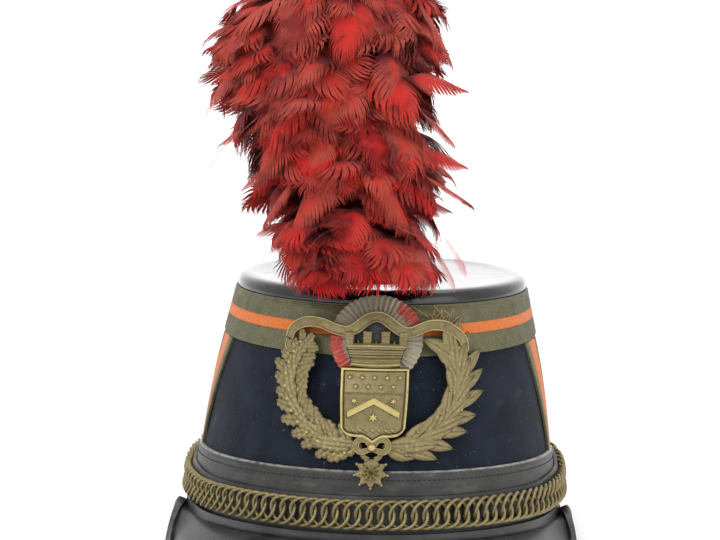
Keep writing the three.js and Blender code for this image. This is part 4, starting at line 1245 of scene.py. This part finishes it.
def make_plate_ribbon():
    """A blank ribbon over the branches, its ends folded back under."""
    stock = Stock()
    band_on_plate(stock, spline(RIBBON_PATH, 130), 2.3, 0.9, RIBBON_ROWS, (0.8, 0.8))
    for side in (-1, 1):
        band_on_plate(stock, spline(mirrored(TAIL_PATH, side), 30), 1.4, 0.5, RIBBON_ROWS, (1.0, 0.15))
    dressed(stock.make("plate_ribbon", brass_finish("ribbon_brass"), crease=50), "old_brass", "cap_plate")


def shield_foot(x):
    """The shield's lower edge: rounded corners, and a point in the middle."""
    share = np.abs(x) / SHIELD_HALF
    rounded = SHIELD_FOOT + (SHIELD_SIDE - SHIELD_FOOT) * share ** 7
    return rounded - (SHIELD_FOOT - SHIELD_POINT) * np.maximum(0, 1 - share * 3) ** 1.5


def rosette(x, z, radius, at_x, at_z):
    """Height of a six-petalled rosette at places of the plate."""
    dx, dz = at_x - x, at_z - z
    far = np.hypot(dx, dz)
    petal = radius * (0.78 + 0.22 * np.cos(6 * np.arctan2(dx, dz)))
    return smooth(petal - far, 0, 0.5) * (0.75 + 0.35 * bell(far, 0.35 * radius))


def shield_relief(x, z):
    """Height of the shield's generic pattern: a hatched field, a chevron, rosettes and a roped foot."""
    upper = z > CHIEF_LINE
    sown = np.zeros_like(x)
    for height, count in ((69.4, 5), (65.6, 4)):
        for n in range(count):
            sown = np.maximum(sown, rosette((n - (count - 1) / 2) * 4.7, height, 1.35, x, z))
    spine = np.abs(z - CHEVRON_PEAK + CHEVRON_SLOPE * np.abs(x))
    chevron = 0.95 * smooth(1.8 - spine, 0, 0.6) * smooth(10.4 - np.abs(x), 0, 0.5)
    edge = 0.35 * bell(spine - 1.4, 0.3) * (np.abs(x) < 10.2)
    flowers = rosette(-7.4, 59.4, 1.7, x, z) + rosette(7.4, 59.4, 1.7, x, z)
    flowers = np.maximum(rosette(0, 52.2, 2.3, x, z), flowers)
    above = z - ROPE_HEIGHT
    rope = 0.75 * bell(above, 0.9) * (0.55 + 0.45 * np.cos(math.tau * (x + 0.6 * above) / 2.6))
    rope = rope * smooth(10.8 - np.abs(x), 0, 0.8)
    field = np.where(upper, 0.0, 0.07 * np.cos(math.tau * x / 0.9)) + 0.55 * bell(z - CHIEF_LINE, 0.35)
    return field + sown * upper + np.maximum(chevron + edge, flowers) + rope


def make_plate_arms():
    """The shield with its raised rim, the crown over it, and the knot and star below."""
    stock = Stock()
    x = np.linspace(-SHIELD_HALF, SHIELD_HALF, 151)[:, None]
    foot = shield_foot(x)
    z = lerp(foot, SHIELD_TOP, np.linspace(0, 1, 171))
    x = np.broadcast_to(x, z.shape)
    within = np.minimum(np.minimum(SHIELD_HALF - np.abs(x), SHIELD_TOP - z), (z - foot) * 0.85)
    rim = smooth(within, 0.0, 0.35) * (1 - smooth(within, 1.0, 1.5))
    field = smooth(within, 1.3, 1.8)
    relief = shield_relief(x, z)
    marks = np.maximum(0.95 * rim, field * (0.42 + 0.6 * np.clip(relief, 0, 1)))
    raised_sheet(stock, x, z, 1.75 + 1.25 * rim + field * (0.45 + relief), 0.2, marks)
    mural_crown(stock)
    knot_and_star(stock)
    dressed(stock.make("plate_arms", brass_finish("arms_brass"), crease=50), "old_brass", "cap_plate")


def mural_crown(stock):
    """A walled crown: a moulded foot, courses of stone, and four merlons with low walls between them."""
    x = np.linspace(-MURAL_HALF, MURAL_HALF, 91)[:, None]
    bulge = 1 - (x / MURAL_HALF) ** 2
    low = MURAL_FOOT - 0.3 * bulge
    high = MURAL_TOP + 0.7 * bulge
    z = lerp(low, high, np.linspace(0, 1, 41))
    course = (z - low) / (high - low)
    x = x * lerp(0.8, 1, smooth(course, 0.15, 1))
    foot = 0.9 * bell(course - 0.1, 0.07) + 0.7 * bell(course - 0.3, 0.05)
    head = 0.8 * bell(course - 0.9, 0.07)
    joint = 0.35 * bell((course * 9) % 1 - 0.5, 0.14) * (course > 0.35) * (course < 0.82)
    marks = np.clip(0.45 + 0.5 * foot + 0.5 * head - 1.2 * joint, 0, 1)
    raised_sheet(stock, x, z, 1.6 + 1.2 * bulge + foot + head - joint, 0.2, marks)
    for places, half, height in (((0, 1, 2, 3), 1.95, 5.7), ((0.5, 1.5, 2.5), 0.6, 1.8)):
        for place in places:
            middle = lerp(-MERLON_REACH, MERLON_REACH, place / 3)
            merlon(stock, middle, MERLON_FOOT + 0.6 * (1 - (middle / MURAL_HALF) ** 2), half, height)


def merlon(stock, middle, foot, half, height):
    """One block of the crown's wall, with a cap and courses of stone."""
    x = middle + half * np.linspace(-1, 1, 17)[:, None]
    share = np.linspace(0, 1, 21)
    x, z, share = np.broadcast_arrays(x, foot + height * share, share)
    near = np.minimum(half - np.abs(x - middle), foot + height - z)
    cap = 0.5 * smooth(share, 0.78, 0.84)
    joint = 0.28 * bell((share * 4) % 1 - 0.5, 0.13) * (share < 0.76)
    marks = np.clip(0.5 + 0.7 * cap - joint, 0, 1) * smooth(near, 0, 0.3)
    raised_sheet(stock, x, z, 0.9 + 1.6 * smooth(near, 0, 0.5) + cap - joint, 0.3, marks)


def knot_and_star(stock):
    """A bow between the branches, with a tassel and a small star that hangs from it on a loop."""
    for side in (-1, 1):
        band_on_plate(stock, spline(mirrored(BOW_PATH, side), 26), 1.25, 1.6, RIBBON_ROWS, (0.7, 0.7))
        band_on_plate(stock, spline(mirrored(LINK_PATH, side), 16), 0.9, 0.9, RIBBON_ROWS)
    boss(stock, 0, 39.4, 2.0, 1.8, 4.0)
    for n in range(-3, 4):
        leaf(stock, 0, TASSEL_HEIGHT, 0.28 * n - math.pi / 2, 4.6, 0.9, 0.9, 0.7)
    turn = hoop_angles(144)
    spike = np.abs(((turn * STAR_POINTS / math.tau) % 1) - 0.5) * 2
    rim = 4.7 + 2.2 * (1 - spike) ** 1.5
    share = np.array([0.02, 0.15, 0.3, 0.42, 0.5, 0.6, 0.75, 0.9, 1.0])[:, None]
    ridge = (1 - spike) * (1 - share) * 1.1
    rings = 0.8 * bell(share * rim - 2.9, 0.3) + 0.6 * bell(share * rim - 1.5, 0.3)

    def at(reach, rise):
        return on_plate(reach * np.sin(turn), STAR_HEIGHT + reach * np.cos(turn), rise)

    face = at(rim * share, 1.2 + ridge + rings * (share < 0.85) + 0.7 * bell(share * rim, 0.8))
    back = np.stack([at(rim, 0.1), at(0.05 * rim, 0.1)])
    marks = np.concatenate([np.clip(0.35 + 0.5 * (ridge + rings), 0, 1), np.zeros((2, len(turn)))])
    place = np.zeros((len(share) + 2, len(turn) + 1, 2))
    place[..., 1] = np.concatenate([marks, marks[:, :1]], 1)
    stock.grid(np.concatenate([face, back]), place, loop=True)
    for n in range(STAR_POINTS):
        tip = math.pi / 2 - (2 * n + 1) * math.pi / STAR_POINTS
        boss_away(stock, 0, STAR_HEIGHT, tip, STAR_BEADS, 0.6, 0.6, 1.8)


def make_frayed_threads():
    """Loose gilt threads by the cockade's right side."""
    rng = np.random.default_rng(5)
    stock = Stock()
    s = np.linspace(0, 1, 7)
    for _ in range(26):
        x, z = rng.uniform(17, 33), rng.uniform(88, 94)
        lean_x, lean_z = rng.uniform(-0.9, 0.9), rng.uniform(0.2, 1.0)
        reach = rng.uniform(3, 8)
        curl = rng.uniform(-2.5, 2.5)
        x = x + lean_x * reach * s + curl * s * s
        z = z + lean_z * reach * s - 0.3 * abs(curl) * s * s
        tube(stock, on_front(x, z, 1.9 + 1.6 * np.sin(s * rng.uniform(1.2, 2.8))), 0.16, 4)
    gilt = plain_finish("gilt_thread", GILT_THREAD, 0.45)
    dressed(stock.make("galloon_frayed_threads", gilt, weld=0), "metal_lace")


def hang(height, turn, reach, root_height, rng):
    """Root, bend and tip of feathers that rise from the plume's core and hang over at their ends."""
    count = len(height)
    left = plume_left(height)
    root_left = plume_left(root_height)
    root = plume_point(root_height, root_left, rng.uniform(1, 8, count), turn)
    top = np.maximum(root_height, height) + rng.uniform(2, 10, count)
    bend = plume_point(top, lerp(root_left, left, 0.7), reach * rng.uniform(0.72, 0.98, count), turn)
    return root, bend, plume_point(height, left, reach, turn + rng.normal(0, 0.3, count))


def feather_paths(rng, count):
    """Feathers in tufts, which hang in tiers round the plume's core, and how far out each one lies."""
    tufts = max(1, count // 6)
    tuft = np.repeat(np.arange(tufts), int(math.ceil(count / tufts)))[:count]
    tier = 4 + 19 * rng.integers(0, 9, tufts) + rng.normal(0, 4.5, tufts)
    turn = rng.uniform(0, math.tau, tufts)
    drop = lerp(rng.uniform(-4, 18, tufts), -24, smooth(tier, 118, 150))
    swell = rng.uniform(0.86, 1.1, tufts)
    height = np.clip(tier[tuft] + rng.normal(0, 4, count), 7, 157)
    depth = rng.uniform(0, 1, count) ** 0.7
    reach = plume_reach(height) * swell[tuft] * lerp(0.66, 1.02, depth)
    root_height = np.clip(height + drop[tuft] + rng.normal(0, 3, count), 4, PLUME_TOP)
    return *hang(height, turn[tuft] + rng.normal(0, 0.2, count), reach, root_height, rng), depth


# The large feathers seen from the front: where each one bends over and where it ends (sideways
# from the plume's root, and height), half its width, and how faded it is, partly real fading and partly
# painted light
FRONT_FEATHERS = np.array([
    [4, 97, 9, 73, 15, 0.75], [-24, 93, -42, 80, 9, 0.65], [-21, 79, -22, 66, 10, 0.7],
    [-32, 122, -34, 101, 15, 0.8], [8, 113, -14, 104, 9, 0.7], [15, 122, 30, 98, 12, 0.6],
    [-52, 116, -64, 98, 12, 0.95], [-12, 120, -16, 98, 13, 0.25], [-46, 98, -70, 86, 8, 0.35],
    [12, 86, 37, 84, 8, 0.4], [16, 74, 32, 62, 8, 0.45], [-40, 76, -62, 60, 5, 0.6],
    [-4, 66, 2, 52, 13, 0.15], [-38, 62, -52, 44, 10, 0.85], [-36, 44, -49, 26, 7, 0.7],
    [-22, 62, -28, 50, 11, 0.9], [-20, 48, -35, 27, 13, 0.55], [-1, 52, 12, 28, 14, 0.5],
    [14, 56, 37, 52, 8, 0.3], [16, 48, 40, 36, 8, 0.45], [14, 36, 31, 33, 7, 0.3],
    [-30, 28, -44, 19, 8, 0.2], [-13, 17, -10, 5, 12, 0.05], [4, 17, 6, 5, 10, 0.0],
    [13, 26, 26, 15, 9, 0.2], [-26, 19, -32, 8, 8, 0.35], [-10, 32, -14, 18, 12, 0.3],
])
# Thin down round them, of the same columns, most of it over the crown's edge
DOWN_FEATHERS = np.array([
    [19, 17, 24, 3, 10, 0.5], [24, 16, 33, 4, 9, 0.5], [14, 16, 17, 3, 8, 0.3],
    [30, 20, 38, 10, 8, 0.5], [-34, 20, -38, 5, 9, 0.4], [-28, 18, -31, 2, 8, 0.4],
    [-38, 26, -48, 14, 7, 0.4], [-60, 66, -74, 50, 8, 0.5], [-62, 92, -76, 74, 7, 0.6],
])


def front_paths(rng, table):
    """Large feathers that are seen from the front, laid over the others."""
    across, height, end_across, end_height, half, faded = table.T

    def on_outside(side, level, share):
        left = plume_left(level)
        reach = plume_reach(level) * share
        turn = np.arcsin(np.clip((side + left) / reach, -0.97, 0.97))
        return plume_point(level, left, np.maximum(reach, np.abs(side + left)), turn)

    root = on_outside(lerp(across, end_across, -0.3), height + 2, 0.72)
    bend = on_outside(across, height + 3, 1.06)
    tip = on_outside(end_across, end_height, 1.0)
    return (root, bend, tip, rng.uniform(0.85, 1, len(half))), faded, half


# Where a barb is cut into three lengths, and its width there, both as shares
BARB_REACHES = np.array([0.0, 0.4, 0.75, 1.0])
BARB_WIDTHS = np.array([1.0, 0.98, 0.72, 0.1])
QUILL_START = 0.24
# Barbs on each side of a feather
BARBS = 36
FRONT_BARBS = 56
DOWN_BARBS = 64


def barb_strips(quill, across, length, hand, widths, rng):
    """Barbs down one side of the quills: flat strips of three lengths, whose ends are drawn into tufts."""
    count, barbs = len(quill), quill.shape[1] - 1
    clumps = max(2, barbs // 3)
    side, ahead, lift, spread = across
    rows = []
    for t in BARB_REACHES:
        angle = (spread - 0.35 * t * t)[..., None]
        flat = side * hand * np.sin(angle) + ahead * np.cos(angle)
        rows.append(quill + (length * t)[..., None] * (flat - lift * t))
    edge = np.stack(rows, 2)
    near, far = edge[:, :-1], edge[:, 1:]
    grow = rng.uniform(0.86, 1.12, (count, barbs, 1, 1)) ** BARB_REACHES[:, None] ** 3
    foot = near[:, :, :1]
    near, far = foot + (near - foot) * grow, foot + (far - foot) * grow
    ends = (near[:, :, 3] + far[:, :, 3]) / 2
    group = np.minimum(np.arange(barbs) * clumps // barbs, clumps - 1)
    mean = np.stack([ends[:, group == n].mean(1) for n in range(clumps)], 1)[:, group]
    pull = (mean - ends)[:, :, None] * (BARB_REACHES ** 2.5)[:, None]
    pull = pull * rng.uniform(0.1, 0.75, (count, 1, 1, 1))
    middle = (near + far) / 2 + pull
    half = (near - far) * widths[:, None] / 2
    strips = np.stack([middle + half, middle - half], 3).reshape(count, barbs, 8, 3)
    along = np.arange(barbs)[None, :, None] + np.tile([0.0, 1.0], 4) + 41.0 * np.arange(count)[:, None, None]
    away = np.repeat(BARB_REACHES, 2) * length[:, 1:, None] * hand
    return strips, np.stack(np.broadcast_arrays(along, away), -1)


def feather_mesh(name, finish, paths, tint, half, barbs, rng, full=1.0):
    """Feathers with a curved quill and barbs down both sides. full is the barbs' width as a share."""
    root, bend, tip, depth = paths
    count = len(root)
    s = np.linspace(QUILL_START, 1, barbs + 1)[None, :, None]
    quill = (1 - s) ** 2 * root[:, None] + 2 * s * (1 - s) * bend[:, None] + s * s * tip[:, None]
    ahead = unit(2 * (1 - s) * (bend - root)[:, None] + 2 * s * (tip - bend)[:, None])
    tip_height = tip[:, 2] - PLUME_FOOT
    out = tip - plume_point(tip_height, plume_left(tip_height), 0.0, 0.0)
    lean = unit(out + rng.normal(0, 0.22, (count, 3)) * np.linalg.norm(out, axis=1)[:, None])
    lean = unit(lean + np.array([0.0, 0.0, 0.75]))[:, None]
    side = unit(np.cross(ahead, lean))
    run = (s[..., 0] - QUILL_START) / (1 - QUILL_START)
    spread = np.radians(lerp(84, 10, run ** 2.1)) * rng.uniform(0.82, 1.08, (count, 1))
    length = half[:, None] * (0.45 + 0.55 * smooth(run, 0, 0.35)) * (1 - 0.3 * smooth(run, 0.7, 1))
    cup = np.cross(side, ahead) * rng.uniform(0.1, 0.5, (count, 1, 1))
    across = (side, ahead, cup, spread)
    hands = [barb_strips(quill, across, length, hand, BARB_WIDTHS * full, rng) for hand in (-1, 1)]
    points, places = (np.concatenate(both, 1) for both in zip(*hands))
    blocks = np.arange(2 * count * barbs)[:, None, None] * 8
    faces = (blocks + np.array([[0, 1, 3, 2], [2, 3, 5, 4], [4, 5, 7, 6]])).reshape(-1, 4)
    stock = Stock()
    stock.points.append(points.reshape(-1, 3))
    stock.faces.append(faces)
    stock.places.append(places.reshape(-1, 2)[faces.ravel()])
    piece = stock.make(name, finish, crease=180, weld=0)
    # Painted shade: dark near the quill's root, and darker on feathers that lie further in
    shade = np.tile(smooth(run[:, 1:], 0.0, 0.5), (1, 2))[..., None] * lerp(0.5, 1, depth)[:, None, None]
    values = {"tint": tint[:, None, None], "depth": shade, "outer": np.repeat(BARB_REACHES, 2)}
    for label, value in values.items():
        layer = piece.data.attributes.new(label, "FLOAT", "POINT")
        value = np.broadcast_to(value, (count, 2 * barbs, 8))
        layer.data.foreach_set("value", value.astype(np.float32).ravel())
    dressed(piece, "red_feather", "plume")


def make_plume():
    """Feathers in three pieces round a core coloured as painted shade, the large ones in front, and the thin
    down.
    """
    finish = feather_finish()
    rng = np.random.default_rng(2026)
    usual = sizes().feather_length / MM
    names = ("plume_feathers_a", "plume_feathers_b", "plume_feathers_c")
    for name in names:
        count = sizes().feathers // len(names)
        paths = feather_paths(rng, count)
        height = (paths[2][:, 2] - PLUME_FOOT) / PLUME_TOP
        # Higher feathers take more of the faded colour: partly real fading, partly painted light on the
        # upper, lit feathers
        tint = np.clip(rng.normal(0.22 + 0.45 * height, 0.2), 0, 1)
        feather_mesh(name, finish, paths, tint, rng.uniform(0.2, 0.33, count) * usual, BARBS, rng)
    down = plain_finish("pale_down", PALE_DOWN, 0.8)
    feather_mesh("plume_feathers_front", finish, *front_paths(rng, FRONT_FEATHERS), FRONT_BARBS, rng)
    feather_mesh("plume_down", down, *front_paths(rng, DOWN_FEATHERS), DOWN_BARBS, rng, full=0.4)
    # A solid core in the plume's middle, coloured as painted shade so that the gaps between the feathers read
    # dark
    core = Stock()
    height = np.linspace(1, PLUME_TOP, 60)[:, None]
    turn = hoop_angles(48)
    lump = 1 + 0.12 * np.sin(5 * turn + height * 0.11) + 0.08 * np.sin(11 * turn - height * 0.3)
    core.lofted(plume_point(height, plume_left(height), plume_reach(height) * 0.42 * lump, turn))
    dressed(core.make("plume_core_shade", plain_finish("plume_core_shade", PLUME_CORE_SHADE, 0.9)), "red_feather", "plume")


FLOOR_DROP = 0.0002
HAT_MIDDLE = (0, 0, 0.13)
# Place, aim, size and power of each light
LIGHTS = (
    ("key", (-0.7, -1.1, 1.3), HAT_MIDDLE, 1.2, 14),
    ("fill", (1.3, -1.0, 0.6), HAT_MIDDLE, 1.2, 6),
    ("top", (0.1, 0.4, 1.7), HAT_MIDDLE, 1.4, 12),
    ("backdrop", (0.0, 1.0, 1.2), (0, 3, 0.9), 1.6, 24),
)


def make_stage():
    """A pale floor that turns up into the backdrop, soft lights and the camera."""
    bend = [(1.6 + math.sin(t), 1 - math.cos(t)) for t in np.linspace(0.1, math.pi / 2, 12)]
    profile = [(y, 0.0) for y in (-3.0, -1.0, 0.0, 1.0, 1.6)] + bend + [(2.6, 4.0)]
    across = (-4.0, -1.0, 1.0, 4.0)
    mesh = bpy.data.meshes.new("floor")
    columns = len(across)
    faces = []
    for row in range(len(profile) - 1):
        for corner in range(row * columns, row * columns + columns - 1):
            faces.append((corner, corner + 1, corner + 1 + columns, corner + columns))
    mesh.from_pydata([(x, y, z - FLOOR_DROP) for y, z in profile for x in across], [], faces)
    mesh.shade_smooth()
    paper = Finish("pale_paper", Specular_IOR_Level=0.1)
    grain = paper.noise(paper.spot((60, 60, 60)), 1.0, 2)
    mesh.materials.append(paper.paint(paper.blend(grain, PAPER, PAPER_LIGHT), 0.9))
    placed_object("floor", mesh)

    scene = bpy.context.scene
    scene.world = bpy.data.worlds.new("studio")
    scene.world.use_nodes = True
    sky = scene.world.node_tree.nodes["Background"].inputs
    sky["Color"].default_value = (1, 1, 1, 1)
    sky["Strength"].default_value = 0.85
    scene.view_settings.view_transform = "Standard"
    for name, place, aim, size, power in LIGHTS:
        light = bpy.data.lights.new(name, "AREA")
        light.size = size
        light.energy = power
        lamp = placed_object(name, light)
        lamp.location = place
        lamp.rotation_euler = (Vector(place) - Vector(aim)).to_track_quat("Z", "Y").to_euler()
    make_camera()


CAMERA_TARGET = Vector((-8.3, 23.4556, 123.3)) * MM
CAMERA_AWAY = 0.85
CAMERA_TURN = math.radians(1.7)
CAMERA_RISE = math.radians(8.15)
CAMERA_ROLL = math.radians(0.86)
FOCAL_PIXELS = 1803
PHOTO_WIDTH = 720
SENSOR_WIDTH = 36


def make_camera():
    """The camera stands where the photograph was taken from."""
    data = bpy.data.cameras.new("camera")
    data.sensor_width = SENSOR_WIDTH
    data.lens = FOCAL_PIXELS * SENSOR_WIDTH / PHOTO_WIDTH
    turn, rise, roll = CAMERA_TURN, CAMERA_RISE, CAMERA_ROLL
    level = Vector((-math.sin(turn), math.cos(turn), 0))
    forward = level * math.cos(rise) - Vector((0, 0, math.sin(rise)))
    right = Vector((math.cos(turn), math.sin(turn), 0))
    up = right.cross(forward)
    tilted_right = right * math.cos(roll) + up * math.sin(roll)
    tilted_up = up * math.cos(roll) - right * math.sin(roll)
    axes = Matrix((tilted_right, tilted_up, -forward)).transposed().to_4x4()
    camera = placed_object("camera", data)
    camera.matrix_world = Matrix.Translation(CAMERA_TARGET - forward * CAMERA_AWAY) @ axes
    bpy.context.scene.camera = camera


class SHAKO_OT_body(bpy.types.Operator):
    """Makes the cloth body"""

    bl_idname = "shako.body"
    bl_label = "Cloth body"

    def execute(self, context):
        make_cloth_body()
        return {"FINISHED"}


class SHAKO_OT_crown(bpy.types.Operator):
    """Makes the leather crown"""

    bl_idname = "shako.crown"
    bl_label = "Crown"

    def execute(self, context):
        make_crown_leather()
        return {"FINISHED"}


class SHAKO_OT_galloon(bpy.types.Operator):
    """Makes the lace round the crown, with its frayed threads"""

    bl_idname = "shako.galloon"
    bl_label = "Galloon"

    def execute(self, context):
        make_galloon()
        make_frayed_threads()
        return {"FINISHED"}


class SHAKO_OT_chevrons(bpy.types.Operator):
    """Makes the chevrons on the sides"""

    bl_idname = "shako.chevrons"
    bl_label = "Chevrons"

    def execute(self, context):
        make_chevrons()
        return {"FINISHED"}


class SHAKO_OT_band(bpy.types.Operator):
    """Makes the leather band and its stitches"""

    bl_idname = "shako.band"
    bl_label = "Leather band"

    def execute(self, context):
        make_leather_band()
        return {"FINISHED"}


class SHAKO_OT_visor(bpy.types.Operator):
    """Makes the visor and its binding"""

    bl_idname = "shako.visor"
    bl_label = "Visor"

    def execute(self, context):
        make_visor()
        make_visor_binding()
        return {"FINISHED"}


class SHAKO_OT_chain(bpy.types.Operator):
    """Makes the chin strap, its chain and the studs"""

    bl_idname = "shako.chain"
    bl_label = "Chin chain"

    def execute(self, context):
        make_chin_strap()
        make_chin_chain()
        make_studs()
        return {"FINISHED"}


class SHAKO_OT_cockade(bpy.types.Operator):
    """Makes the pleated cockade"""

    bl_idname = "shako.cockade"
    bl_label = "Cockade"

    def execute(self, context):
        make_cockade()
        return {"FINISHED"}


class SHAKO_OT_plate(bpy.types.Operator):
    """Makes the stamped plate"""

    bl_idname = "shako.plate"
    bl_label = "Cap plate"

    def execute(self, context):
        make_plate_wreath()
        make_plate_ribbon()
        make_plate_arms()
        return {"FINISHED"}


class SHAKO_OT_plume(bpy.types.Operator):
    """Makes the feather plume"""

    bl_idname = "shako.plume"
    bl_label = "Plume"

    def execute(self, context):
        make_plume()
        return {"FINISHED"}


class SHAKO_OT_stage(bpy.types.Operator):
    """Makes the floor, the lights and the camera"""

    bl_idname = "shako.stage"
    bl_label = "Stage"

    def execute(self, context):
        make_stage()
        return {"FINISHED"}


OPERATORS = (
    SHAKO_OT_body, SHAKO_OT_crown, SHAKO_OT_galloon, SHAKO_OT_chevrons, SHAKO_OT_band, SHAKO_OT_visor,
    SHAKO_OT_chain, SHAKO_OT_cockade, SHAKO_OT_plate, SHAKO_OT_plume, SHAKO_OT_stage,
)


class SHAKO_PT_pieces(bpy.types.Panel):
    """Lists the pieces of the hat"""

    bl_label = "Shako"
    bl_space_type = "VIEW_3D"
    bl_region_type = "UI"
    bl_category = "Shako"

    def draw(self, context):
        for maker in OPERATORS:
            self.layout.operator(maker.bl_idname)
        for group in (context.scene.shako_sizes, context.scene.shako_colours):
            for name in group.__annotations__:
                self.layout.prop(group, name)


CLASSES = (ShakoColours, ShakoSizes, *OPERATORS, SHAKO_PT_pieces)


def register():
    for item in CLASSES:
        bpy.utils.register_class(item)
    bpy.types.Scene.shako_colours = bpy.props.PointerProperty(type=ShakoColours)
    bpy.types.Scene.shako_sizes = bpy.props.PointerProperty(type=ShakoSizes)


def unregister():
    del bpy.types.Scene.shako_sizes
    del bpy.types.Scene.shako_colours
    for item in reversed(CLASSES):
        bpy.utils.unregister_class(item)


def main():
    register()
    bpy.ops.shako.body()
    bpy.ops.shako.crown()
    bpy.ops.shako.galloon()
    bpy.ops.shako.chevrons()
    bpy.ops.shako.band()
    bpy.ops.shako.visor()
    bpy.ops.shako.chain()
    bpy.ops.shako.cockade()
    bpy.ops.shako.plate()
    bpy.ops.shako.plume()
    bpy.ops.shako.stage()


if __name__ == "__main__":
    main()
